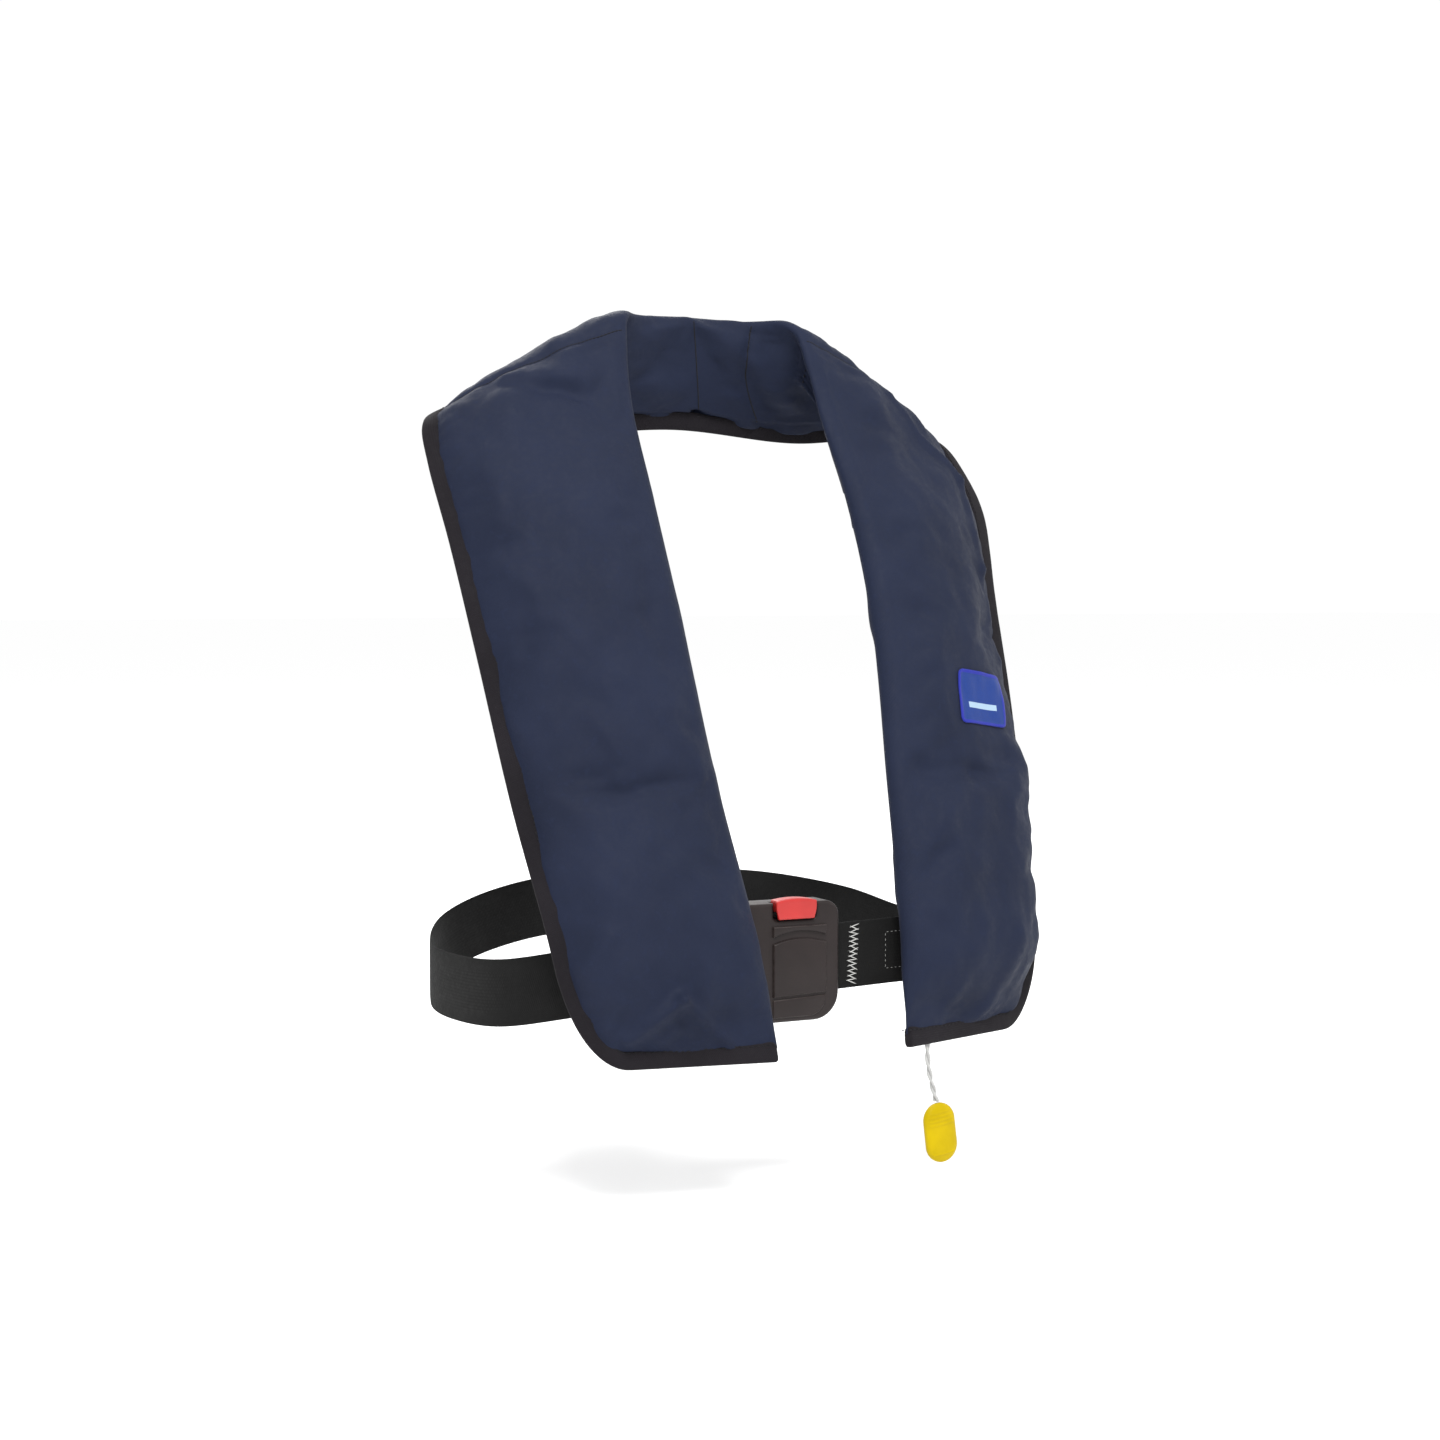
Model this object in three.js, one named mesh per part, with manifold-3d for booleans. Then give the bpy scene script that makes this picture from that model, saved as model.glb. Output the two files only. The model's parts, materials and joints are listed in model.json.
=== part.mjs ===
// Inflatable life jacket, worn pose: a padded yoke with a bound rim, folded bladder, firing head
// with gas cylinder, oral tube, and a waist belt with a press-button buckle.
// Millimetres, +Z up, the wearer faces -Y. "left" and "right" are the wearer's own.
import * as THREE from 'three';
import Module from 'manifold-3d';
import { mergeVertices } from 'three/addons/utils/BufferGeometryUtils.js';

// ---- driving dimensions ----
const gap = 0.3;               // running gap between touching pieces
const fabric = 1.2;            // cover cloth with its lining
const frontLoft = 20;          // how far the front cover stands off the rim plane
const backLoft = 12;           // how far the back cover stands off it
const collarLoft = 9;          // both faces, behind the neck
const tapeWidth = 11;          // edge binding tape
const tapeThick = 4.4;
const hemTapeThick = 6.4;
const cornerWidth = 36;        // rounded outer hem corner, across the lobe
const cornerHeight = 72;       // and up the lobe
const webWidth = 41.5;         // belt webbing
const webThick = 2;
const cordRadius = 0.9;        // one leg of the doubled pull cord
const buckle = { x: -22, y: -143.5, z: -411, yaw: THREE.MathUtils.degToRad(-4) };
const housing = { width: 70, height: 74, depth: 24, corner: 11 };
const cylinder = { radius: 12, length: 104 };
const firingPlace = { along: 150, across: 0.44, lift: 4.5 };
const oralPlace = { along: 285, across: 0.23, lift: 3 };
const whistlePlace = { along: 180, across: 0.22, lift: 4 };

// ---- colours and finishes ----
const finish = (color, roughness, metalness = 0) => ({ color, roughness, metalness });
const navy = finish(0x2e3450, 0.75);
const black = finish(0x2a2728, 0.85);
const bladderYellow = finish(0xe8c020, 0.5);
const plastic = finish(0x3e3837, 0.45);
const red = finish(0xd0403c, 0.4);
const yellow = finish(0xe8cb07, 0.45);
const steel = finish(0xb8bcc0, 0.3, 1);
const white = finish(0xeaeae8, 0.8);
const blue = finish(0x193ca5, 0.7);

const jacket = new THREE.Group();
const add = (name, geometry, look, parent = jacket) => {
  const mesh = new THREE.Mesh(geometry, new THREE.MeshStandardMaterial(look));
  mesh.name = name;
  parent.add(mesh);
  return mesh;
};

// ---- the yoke's two long edges, from the left hem over the shoulder to the centre back ----
const point = ([x, y, z]) => new THREE.Vector3(x, y, z);
const mirrored = (half) => [
  ...half.map(point),
  ...half.slice(0, -1).reverse().map(([x, y, z]) => new THREE.Vector3(-x, y, z)),
];
const neckEdge = new THREE.CatmullRomCurve3(mirrored([
  [45, -181, -466], [50, -167, -400], [61, -134, -300], [69, -104, -200], [71, -72, -125],
  [69, -40, -65], [66, -27, -28], [61, -18, -5], [42, 4, -1], [0, 19, 1],
]));
const rimEdge = new THREE.CatmullRomCurve3(mirrored([
  [171, -150, -466], [176, -139, -406], [188, -106, -312], [196, -74, -222], [200, -44, -154],
  [201, -14, -104], [197, 4, -80], [180, 22, -72], [98, 33, -80], [0, 34, -74],
]));
neckEdge.arcLengthDivisions = 600;
const bandLength = neckEdge.getLength();
const shoulderSeam = bandLength * 0.4225;

// along: mm from the left hem; across: 0 neck edge to 1 rim; lift: mm off the rim plane
const station = (along) => {
  const k = neckEdge.getUtoTmapping(THREE.MathUtils.clamp(along / bandLength, 0, 1));
  const inner = neckEdge.getPoint(k);
  const outer = rimEdge.getPoint(k);
  const a = Math.max(k - 0.004, 0);
  const b = Math.min(k + 0.004, 1);
  const run = neckEdge.getPoint(b).sub(neckEdge.getPoint(a));
  run.add(rimEdge.getPoint(b).sub(rimEdge.getPoint(a))).normalize();
  const chord = outer.clone().sub(inner);
  const width = chord.length();
  chord.normalize();
  const face = chord.clone().cross(run).normalize();
  return { inner, chord, run, face, width };
};
const band = (along, across, lift) => {
  const s = station(along);
  return s.inner.clone().addScaledVector(s.chord, across * s.width).addScaledVector(s.face, lift);
};

// a unit box whose corners are carried to new places; u, v and w run from 0 to 1
const bend = (nu, nv, map, nw = 1) => {
  const box = new THREE.BoxGeometry(1, 1, 1, nu, nv, nw);
  const place = box.getAttribute('position');
  for (let i = 0; i < place.count; i += 1) {
    const p = map(place.getX(i) + 0.5, place.getY(i) + 0.5, place.getZ(i) + 0.5);
    place.setXYZ(i, p.x, p.y, p.z);
  }
  return box;
};
const even = (u) => 0.5 - 0.5 * Math.cos(Math.PI * u);
const mix = THREE.MathUtils.lerp;
const crown = (u) => (4 * u * (1 - u)) ** 0.45;
const fromHem = (along) => Math.min(along, bandLength - along);

// the covers grow from a thin hem to full loft and thin out again over the shoulder
const loft = (along, full) => {
  const rise = THREE.MathUtils.smoothstep(fromHem(along), tapeWidth, 62);
  const neck = THREE.MathUtils.smoothstep(fromHem(along), shoulderSeam * 0.72, shoulderSeam);
  return mix(mix(5, full, rise), collarLoft, neck);
};
// where the covers stop, just inside the tape, as a share of the width
const coverEdge = (along) => {
  const { width } = station(along);
  const tape = tapeWidth + 2 * gap;
  const up = fromHem(along);
  if (up >= cornerHeight) return (width - tape) / width;
  const rest = (cornerHeight - up) / (cornerHeight - tape);
  const swell = Math.sqrt(Math.max(0, 1 - rest * rest));
  return (width - cornerWidth + (cornerWidth - tape) * swell) / width;
};

const coverSheet = (start, end, steps, full, side) => bend(12, steps, (u, v, w) => {
  const along = mix(start, end, v);
  const across = even(u);
  const depth = side > 0 ? w : 1 - w;
  const inset = (1 - depth) * 0.014;
  const rise = (loft(along, full) - fabric) * crown(across);
  const lift = side * (0.2 + depth * fabric + rise);
  return band(along, mix(inset, 1 - inset, across) * coverEdge(along), lift);
});

const hemStart = tapeWidth + 2 * gap;
const lobeEnd = shoulderSeam - 0.2;
add('left_front_cover', coverSheet(hemStart, lobeEnd, 20, frontLoft, 1), navy);
add('left_back_cover', coverSheet(hemStart, lobeEnd, 20, backLoft, -1), navy);
add('right_front_cover', coverSheet(bandLength - lobeEnd, bandLength - hemStart, 20, frontLoft, 1), navy);
add('right_back_cover', coverSheet(bandLength - lobeEnd, bandLength - hemStart, 20, backLoft, -1), navy);
const collarStart = shoulderSeam + 0.2;
add('collar_outer_cover', coverSheet(collarStart, bandLength - collarStart, 16, frontLoft, 1), navy);
add('collar_lining', coverSheet(collarStart, bandLength - collarStart, 16, backLoft, -1), navy);

// ---- edge binding: a tape round the hem corner and up the rim ----
const rimTape = (start, end, onRight) => bend(1, 26, (u, v, w) => {
  const s = onRight ? 1 - v : v;
  const { width } = station(mix(start, end, s));
  const inset = tapeWidth * (1 - u);
  const cornerShare = 0.3;
  let along = mix(cornerHeight, end, (s - cornerShare) / (1 - cornerShare));
  let reach = station(onRight ? bandLength - along : along).width - inset;
  if (s < cornerShare) {
    const turn = (Math.PI / 2) * (1 - s / cornerShare);
    along = cornerHeight - (cornerHeight - inset) * Math.sin(turn);
    reach = width - cornerWidth + (cornerWidth - inset) * Math.cos(turn);
  }
  const place = onRight ? bandLength - along : along;
  return band(place, reach / station(place).width, (w - 0.5) * tapeThick);
});
add('left_rim_binding', rimTape(0, lobeEnd, false), black);
add('right_rim_binding', rimTape(0, lobeEnd, true), black);
add('collar_binding', bend(1, 20, (u, v, w) => {
  const along = mix(collarStart, bandLength - collarStart, v);
  const { width } = station(along);
  return band(along, (width - (tapeWidth - gap) * (1 - u)) / width, (w - 0.5) * tapeThick);
}), black);

const hemTape = (onRight) => bend(8, 1, (u, v, w) => {
  const along = onRight ? bandLength - tapeWidth * (1 - v) : tapeWidth * v;
  const { width } = station(along);
  return band(along, (u * (width - cornerWidth - gap)) / width, (w - 0.5) * hemTapeThick);
});

// ---- boolean cuts ----
const wasm = await Module();
wasm.setup();
const solidOf = (geometry, matrix = new THREE.Matrix4()) => {
  const bare = geometry.clone().applyMatrix4(matrix);
  bare.deleteAttribute('normal');
  bare.deleteAttribute('uv');
  const merged = mergeVertices(bare, 1e-4);
  const numbers = merged.getAttribute('position').array;
  return new wasm.Manifold(new wasm.Mesh({
    numProp: 3, vertProperties: new Float32Array(numbers), triVerts: new Uint32Array(merged.index.array),
  }));
};
const geometryOf = (solid) => {
  const { vertProperties, triVerts } = solid.getMesh();
  const result = new THREE.BufferGeometry();
  result.setAttribute('position', new THREE.BufferAttribute(new Float32Array(vertProperties), 3));
  result.setIndex(new THREE.BufferAttribute(new Uint32Array(triVerts), 1));
  return result;
};
const cut = (body, ...tools) => geometryOf(
  tools.reduce((left, tool) => left.subtract(solidOf(tool)), solidOf(body)),
);
const box = (x0, x1, y0, y1, z0, z1) => new THREE.BoxGeometry(x1 - x0, y1 - y0, z1 - z0)
  .translate((x0 + x1) / 2, (y0 + y1) / 2, (z0 + z1) / 2);
const post = (radius, z0, z1, sides = 20) => new THREE.CylinderGeometry(radius, radius, z1 - z0, sides)
  .rotateX(Math.PI / 2).translate(0, 0, (z0 + z1) / 2);
const turned = (profile, sides = 24) => new THREE.LatheGeometry(
  profile.map(([r, z]) => new THREE.Vector2(r, z)), sides).rotateX(Math.PI / 2);
const roundedPlate = (width, height, corner, y0, y1) => {
  const shape = new THREE.Shape();
  const x = width / 2 - corner;
  const z = height / 2 - corner;
  shape.absarc(x, z, corner, 0, Math.PI / 2);
  shape.absarc(-x, z, corner, Math.PI / 2, Math.PI);
  shape.absarc(-x, -z, corner, Math.PI, 1.5 * Math.PI);
  shape.absarc(x, -z, corner, 1.5 * Math.PI, 2 * Math.PI);
  return new THREE.ExtrudeGeometry(shape, { depth: y1 - y0, bevelEnabled: false, curveSegments: 5 })
    .rotateX(Math.PI / 2).translate(0, y1, 0);
};
const coil = (radius, wire, z0, z1, turns) => {
  const stops = [];
  for (let i = 0; i <= turns * 8; i += 1) {
    const angle = (i * Math.PI) / 4;
    const rise = mix(z0, z1, i / (turns * 8));
    stops.push(new THREE.Vector3(radius * Math.cos(angle), radius * Math.sin(angle), rise));
  }
  const ring = new THREE.Shape().absarc(0, 0, wire, 0, 2 * Math.PI);
  return new THREE.ExtrudeGeometry(ring, {
    steps: turns * 8, curveSegments: 3, extrudePath: new THREE.CatmullRomCurve3(stops),
  });
};

// a frame fixed to the yoke: x across the lobe, z up it, -y out through the front cover
const yokeFrame = (place, onRight) => {
  const s = station(onRight ? bandLength - place.along : place.along);
  const turn = onRight ? -1 : 1;
  const across = s.chord.clone().multiplyScalar(turn);
  const back = s.face.clone().negate();
  const up = across.clone().cross(back).normalize();
  const frame = new THREE.Group();
  frame.position.copy(s.inner).addScaledVector(s.chord, place.across * s.width)
    .addScaledVector(s.face, place.lift);
  frame.quaternion.setFromRotationMatrix(new THREE.Matrix4().makeBasis(across, back, up));
  jacket.add(frame);
  return frame;
};

// ---- hems; the left one has a tunnel that lets the pull cord out ----
const cordExit = { across: 0.165, width: 7.4, height: 3.6 };
const tunnelFrame = yokeFrame({ along: tapeWidth / 2, across: cordExit.across, lift: 0 }, false);
tunnelFrame.updateMatrixWorld();
const tunnel = new THREE.BoxGeometry(cordExit.width, cordExit.height, 3 * tapeWidth)
  .applyMatrix4(tunnelFrame.matrixWorld);
add('left_hem_binding', cut(hemTape(false), tunnel), black);
add('right_hem_binding', hemTape(true), black);

// ---- hook and loop closure inside the rim, two facing strips a side ----
const closureStrip = (start, end, low, high) => bend(1, 16, (u, v, w) => {
  const along = mix(start, end, v);
  return band(along, mix(0.9, 0.975, u) * coverEdge(along), mix(low, high, w));
});
const closureStart = 80;
const closureEnd = shoulderSeam - 30;
const closures = {
  left: [closureStart, closureEnd],
  right: [bandLength - closureEnd, bandLength - closureStart],
};
Object.entries(closures).forEach(([side, [start, end]]) => {
  add(`${side}_hook_strip`, closureStrip(start, end, 0.2, 1.5), black);
  add(`${side}_loop_strip`, closureStrip(start, end, -1.5, -0.2), black);
});

// ---- belt loops sewn to the back covers ----
const loopStand = 21;
const beltLoop = (start, end) => bend(2, 12, (u, v, w) => {
  const along = mix(start, end, v);
  const across = mix(0.42, 0.7, u);
  const skin = 0.2 + fabric + (loft(along, backLoft) - fabric) * crown(across / coverEdge(along));
  const stand = gap + loopStand * Math.min(1, 1.9 * Math.sin(Math.PI * v));
  return band(along, across, -(skin + stand + (1 - w) * 1.6));
});
add('left_belt_loop', beltLoop(14, 98), black);
add('right_belt_loop', beltLoop(bandLength - 98, bandLength - 14), black);

// ---- a sewn patch near the left rim ----
add('front_patch', bend(6, 4, (u, v, w) => {
  const along = mix(207, 243, v);
  const across = mix(0.42, 0.8, u) * coverEdge(along);
  const skin = 0.2 + fabric + (loft(along, frontLoft) - fabric) * crown(across / coverEdge(along));
  return band(along, across, skin + 0.3 + w * 1.2);
}), blue);

// ---- the folded bladder fills the yoke beside the fittings ----
const bladder = (start, end, steps, innerSide) => bend(6, steps, (u, v, w) => {
  const along = mix(start, end, v);
  const across = mix(innerSide(fromHem(along)), 0.79, u);
  const room = crown(across / coverEdge(along)) * 0.8;
  const front = (loft(along, frontLoft) - fabric) * room - 0.6;
  const back = (loft(along, backLoft) - fabric) * room - 0.6;
  return band(along, across, mix(-back, front, w));
});
const collarBladderInset = 24;
const cylinderTop = firingPlace.along + cylinder.length + 2;
add('left_bladder', bladder(34, lobeEnd - 6, 18, (up) => (up < cylinderTop ? 0.67 : 0.08)), bladderYellow);
add('right_bladder', bladder(bandLength - lobeEnd + 6, bandLength - 34, 18,
  (up) => (up < oralPlace.along + 118 ? 0.36 : 0.08)), bladderYellow);
add('collar_bladder', bladder(collarStart + collarBladderInset,
  bandLength - collarStart - collarBladderInset, 14, () => 0.14), bladderYellow);

// ---- firing head and gas cylinder in the left lobe ----
const firing = yokeFrame(firingPlace, false);
const head = { half: 15, depth: 11, low: -62, high: -22 };
const lever = { x: -5, z: -50, hub: 6.2, reach: 24, thick: 4.4, half: 3.2 };
const leverSlot = box(-head.half - 1, lever.x + lever.hub + 1,
  -lever.thick / 2 - gap, lever.thick / 2 + gap, head.low - 1, -43);
const pinHole = post(1.9, -14, 14, 16).rotateX(Math.PI / 2).translate(lever.x, 0, lever.z);
add('firing_head', cut(
  roundedPlate(2 * head.half, head.high - head.low, 5, -head.depth, head.depth)
    .translate(0, 0, (head.high + head.low) / 2),
  post(7.4, -36, head.high + 1), post(2, -44, -35), leverSlot, pinHole,
), plastic, firing);
const leverShape = new THREE.Shape();
leverShape.absarc(0, 0, lever.hub, -2.6, 2.6);
leverShape.lineTo(-lever.reach, lever.half);
leverShape.absarc(-lever.reach, 0, lever.half, Math.PI / 2, 1.5 * Math.PI);
leverShape.holes.push(new THREE.Path().absarc(0, 0, 1.9, 0, 2 * Math.PI));
leverShape.holes.push(new THREE.Path().absarc(-lever.reach + 0.6, 0, 1.5, 0, 2 * Math.PI));
add('firing_lever', new THREE.ExtrudeGeometry(leverShape, {
  depth: lever.thick, bevelEnabled: false, curveSegments: 10,
}).rotateX(Math.PI / 2).translate(lever.x, lever.thick / 2, lever.z), yellow, firing);
add('lever_pin', post(1.6, -head.depth - 0.6, head.depth + 0.6, 16).rotateX(Math.PI / 2)
  .translate(lever.x, 0, lever.z), steel, firing);
add('piercing_pin', turned([
  [0, -43.2], [1.7, -43.2], [1.7, -36.5], [0.5, -34.8], [0, -34.8],
], 12), steel, firing);
const neckLow = -32.8;
add('gas_cylinder', turned([
  [0, neckLow], [6.9, neckLow], [6.9, -20], [9.5, -18], [cylinder.radius, -10],
  [cylinder.radius, cylinder.length - 26], [11, cylinder.length - 18], [6, cylinder.length - 13],
  [0, cylinder.length - 12],
]), steel, firing);
add('safety_clip', box(-6, 6, -head.depth - 2.6, -head.depth - gap, -40, -30), red, firing);
const sideways = (geometry) => geometry.rotateY(Math.PI / 2).translate(0, 0, -34);
add('manifold_stem', sideways(post(5, head.half + gap, 23.2, 16)), plastic, firing);
add('manifold_nut', sideways(cut(post(9.5, 17, 21, 6), post(5.3, 16, 22, 16))), plastic, firing);

// ---- pull cord: two legs from the lever, out through the hem tunnel, down to the handle ----
const cordRoute = [
  [85.5, -156.5, -376.6], [82, -159.8, -391.7], [77.4, -164.2, -411.8], [72.8, -168.5, -431.9],
  [68.2, -172.9, -452], [66.2, -174.8, -460.7], [65, -176, -466], [64.4, -176.9, -471.5],
  [64.6, -177.3, -478], [66, -177.4, -486], [68.4, -177.3, -494], [71, -177.2, -502.4],
];
const cordLeg = (shift) => {
  const path = new THREE.CatmullRomCurve3(cordRoute.map(([x, y, z]) => new THREE.Vector3(x + shift, y, z)));
  const section = new THREE.Shape().absarc(0, 0, cordRadius, 0, 2 * Math.PI);
  return new THREE.ExtrudeGeometry(section, { steps: 48, curveSegments: 4, extrudePath: path });
};
add('pull_cord_outer', cordLeg(cordRadius + 0.15), white);
add('pull_cord_inner', cordLeg(-cordRadius - 0.15), white);
const handle = { width: 22.5, height: 38, depth: 8, tilt: THREE.MathUtils.degToRad(-7.5) };
const grip = new THREE.Group();
grip.position.set(74, -177.2, -522.4);
grip.rotation.y = handle.tilt;
jacket.add(grip);
add('pull_handle', roundedPlate(handle.width, handle.height, handle.width / 2 - 0.5, -handle.depth / 2,
  handle.depth / 2), yellow, grip);

// ---- oral tube, its valve and cap, and a whistle in the right lobe ----
const oral = yokeFrame(oralPlace, true);
add('oral_tube', cut(post(6.5, -42, 40), post(4.5, -36, 41, 12)), black, oral);
add('oral_valve_body', turned([
  [4.2, 40.3], [8, 40.3], [8, 54], [4.2, 54], [4.2, 40.3],
], 20), plastic, oral);
add('oral_valve_plunger', post(3.8, 44, 54.6, 14), red, oral);
add('oral_cap', turned([
  [0, 66], [10, 66], [10, 50], [8.4, 50], [8.4, 56], [0, 56],
].reverse(), 20), plastic, oral);
const whistle = yokeFrame(whistlePlace, true);
add('whistle', cut(roundedPlate(14, 46, 5, -6, 6), box(-4, 4, -4, 4, 6, 24), box(-4, 4, -7, 0, -4, 2)),
  yellow, whistle);

// ---- waist belt ----
const beltRoute = new THREE.CatmullRomCurve3([
  [9, -145.7, -411], [40, -147, -410], [70, -144.6, -410], [100, -138, -412], [130, -130.5, -416],
  [158, -112, -421], [181, -75, -427], [189, -25, -431], [183, 25, -430], [163, 70, -419], [115, 108, -409],
  [57, 125, -405], [0, 129, -404], [-57, 125, -405], [-112, 108, -412], [-150, 84, -421], [-182, 28, -430],
  [-188, -25, -431], [-180, -75, -428], [-155, -111, -420], [-127, -128, -414], [-106, -132.2, -411.5],
  [-91, -133.4, -411],
].map(point), false, 'centripetal');
beltRoute.arcLengthDivisions = 400;
const webbing = (route, steps, drift = 0) => bend(1, steps, (u, v, w) => {
  const centre = route.getPointAt(v);
  const inward = new THREE.Vector3(0, 0, 1).cross(route.getTangentAt(v)).normalize();
  centre.z += (u - 0.5) * webWidth;
  return centre.addScaledVector(inward, drift + (w - 0.5) * webThick);
});
add('waist_webbing', webbing(beltRoute, 110), black);
const loopRoute = new THREE.LineCurve3(point([9.2, -145.7, -411]), point([33, -147, -410.4]));
add('housing_loop', webbing(loopRoute, 4, webThick + gap), black);

// ---- buckle: x along the belt, -y to the front, z up ----
const clasp = new THREE.Group();
clasp.position.set(buckle.x, buckle.y, buckle.z);
clasp.rotation.z = buckle.yaw;
jacket.add(clasp);
const halfDepth = housing.depth / 2;
const button = { centre: 4, half: 14, low: 27, high: 38, front: -11.6, back: -1.6 };
const cavity = box(-27, 25, -9.6, 9.6, -24, 13.5);
const tongueSlot = box(-36, -26, -2, 2, -13, 13);
const webSlot = box(28, 36, -2, 5.6, -21.6, 21.6);
const splitLine = -0.15;
add('buckle_front_shell', cut(
  roundedPlate(housing.width, housing.height, housing.corner, -halfDepth, splitLine),
  cavity, tongueSlot, webSlot,
  box(button.centre - button.half - 0.5, button.centre + button.half + 0.5, -halfDepth - 1, 1,
    button.low - 5, housing.height / 2 + 1),
  box(-6, 6, -9.6, 1, 15.5, button.low),
), plastic, clasp);
const screwSpots = [[-27, 29], [27, 29], [-27, -29], [27, -29]];
const screwWell = halfDepth - 2.4;
add('buckle_back_shell', cut(
  roundedPlate(housing.width, housing.height, housing.corner, -splitLine, halfDepth),
  cavity, tongueSlot, webSlot,
  ...screwSpots.map(([x, z]) => post(3.5, screwWell, halfDepth + 1, 12)
    .rotateX(-Math.PI / 2).translate(x, 0, z)),
), plastic, clasp);
add('release_button', geometryOf(
  solidOf(box(button.centre - button.half, button.centre + button.half, button.front, button.back,
    button.low, button.high))
    .add(solidOf(box(-4, 4, -8, -3, 22.4, button.low + 1))),
), red, clasp);
add('button_spring', coil(2.4, 0.45, 16.2, 21.6, 4).translate(0, -5.4, 0), steel, clasp);
add('latch', geometryOf(
  solidOf(box(-26.5, -6, -6, -2.2, -10, 8)).add(solidOf(box(-23.5, -17.5, -2.4, -1.5, -4.5, 4.5))),
), steel, clasp);
const tongueOutline = new THREE.Shape();
tongueOutline.moveTo(-12, -9).lineTo(-12, 9).lineTo(-15, 12).lineTo(-48, 12).lineTo(-50, 23)
  .lineTo(-64, 23).lineTo(-64, -23).lineTo(-50, -23).lineTo(-48, -12).lineTo(-15, -12).lineTo(-12, -9);
const windowAt = (x0, x1, half) => new THREE.Path().moveTo(x0, -half).lineTo(x1, -half).lineTo(x1, half)
  .lineTo(x0, half).lineTo(x0, -half);
tongueOutline.holes.push(windowAt(-24, -17, 5), windowAt(-60, -54, 20.9));
add('tongue_plate', new THREE.ExtrudeGeometry(tongueOutline, { depth: 2.4, bevelEnabled: false })
  .rotateX(Math.PI / 2).translate(0, 1.2, 0), steel, clasp);
const gripHalf = 3.9;
add('tongue_grip', cut(roundedPlate(11, 34, 4, -gripHalf, gripHalf).translate(-41.6, 0, 0),
  box(-50, -30, -1.5, 1.5, -12.3, 12.3)), plastic, clasp);
add('tongue_webbing', bend(1, 6, (u, v, w) => new THREE.Vector3(
  mix(-57, -80, v), mix(1.5 + webThick, 1.5, w), mix(-webWidth / 2, webWidth / 2, u))), black, clasp);
const screwFoot = screwWell + gap;
const screwTop = halfDepth - 0.5;
const screw = (x, z) => turned([[0, screwFoot], [3, screwFoot], [2.6, screwTop], [0, screwTop]], 12)
  .rotateX(-Math.PI / 2).translate(x, 0, z);
screwSpots.forEach(([x, z], i) => {
  add(`buckle_screw_${i + 1}`, screw(x, z), steel, clasp);
});

export default jacket;
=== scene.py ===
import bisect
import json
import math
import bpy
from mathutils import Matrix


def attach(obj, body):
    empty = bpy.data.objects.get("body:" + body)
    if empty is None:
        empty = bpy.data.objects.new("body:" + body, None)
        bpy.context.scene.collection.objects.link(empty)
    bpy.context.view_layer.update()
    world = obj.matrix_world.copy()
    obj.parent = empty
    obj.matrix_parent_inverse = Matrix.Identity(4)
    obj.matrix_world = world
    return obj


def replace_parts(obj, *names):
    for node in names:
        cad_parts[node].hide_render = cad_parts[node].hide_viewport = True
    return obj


bl_info = {
    "name": "Inflatable Life Jacket",
    "version": (1, 0, 0),
    "blender": (4, 5, 0),
    "location": "3D View > Sidebar > Life Jacket",
    "description": "Builds the cloth, tape, webbing and fittings of a horseshoe life jacket",
    "category": "Object",
}

import bmesh
import bpy
from bpy.props import FloatProperty, FloatVectorProperty, PointerProperty
from mathutils import Matrix, Vector, noise
from mathutils.bvhtree import BVHTree

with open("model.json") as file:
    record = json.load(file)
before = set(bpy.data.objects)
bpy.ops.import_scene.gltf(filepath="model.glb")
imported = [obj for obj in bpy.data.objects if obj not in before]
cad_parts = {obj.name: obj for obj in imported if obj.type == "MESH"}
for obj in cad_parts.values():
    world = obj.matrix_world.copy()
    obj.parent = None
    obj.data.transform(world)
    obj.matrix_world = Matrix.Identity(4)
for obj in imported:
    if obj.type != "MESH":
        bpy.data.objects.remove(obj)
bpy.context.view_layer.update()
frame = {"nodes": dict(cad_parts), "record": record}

MM = 0.001

# The yoke's two long edges, left half: hem, over the shoulder, to the centre back.
NECK_HALF = [
    (45, -181, -466), (50, -167, -400), (61, -134, -300), (69, -104, -200), (71, -72, -125),
    (69, -40, -65), (66, -27, -28), (61, -18, -5), (42, 4, -1), (0, 19, 1),
]
RIM_HALF = [
    (171, -150, -466), (176, -139, -406), (188, -106, -312), (196, -74, -222), (200, -44, -154),
    (201, -14, -104), (197, 4, -80), (180, 22, -72), (98, 33, -80), (0, 34, -74),
]
BELT_ROUTE = [
    (9, -145.7, -411), (40, -147, -410), (70, -144.6, -410), (100, -138, -412),
    (130, -130.5, -416), (158, -112, -421), (181, -75, -427), (189, -25, -431), (183, 25, -430),
    (163, 70, -419), (115, 108, -409), (57, 125, -405), (0, 129, -404), (-57, 125, -405),
    (-112, 108, -412), (-150, 84, -421), (-182, 28, -430), (-188, -25, -431), (-180, -75, -428),
    (-155, -111, -420), (-127, -128, -414), (-106, -132.2, -411.5), (-91, -133.4, -411),
]
CORD_ROUTE = [
    (85.5, -156.5, -376.6), (82, -159.8, -391.7), (77.4, -164.2, -411.8), (72.8, -168.5, -431.9),
    (68.2, -172.9, -452), (66.2, -174.8, -460.7), (65, -176, -466), (64.4, -176.9, -471.5),
    (64.6, -177.3, -478), (66, -177.4, -486), (68.4, -177.3, -494), (71, -177.2, -502.4),
]
TAPE_WIDTH = 12.8 * MM
COVER_TUCK = 6.3 * MM  # how far the covers' edge goes into the tape
TAPE_THICK = 4.4 * MM
HEM_TAPE_THICK = 6.4 * MM
CORNER_WIDTH = 36 * MM
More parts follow.
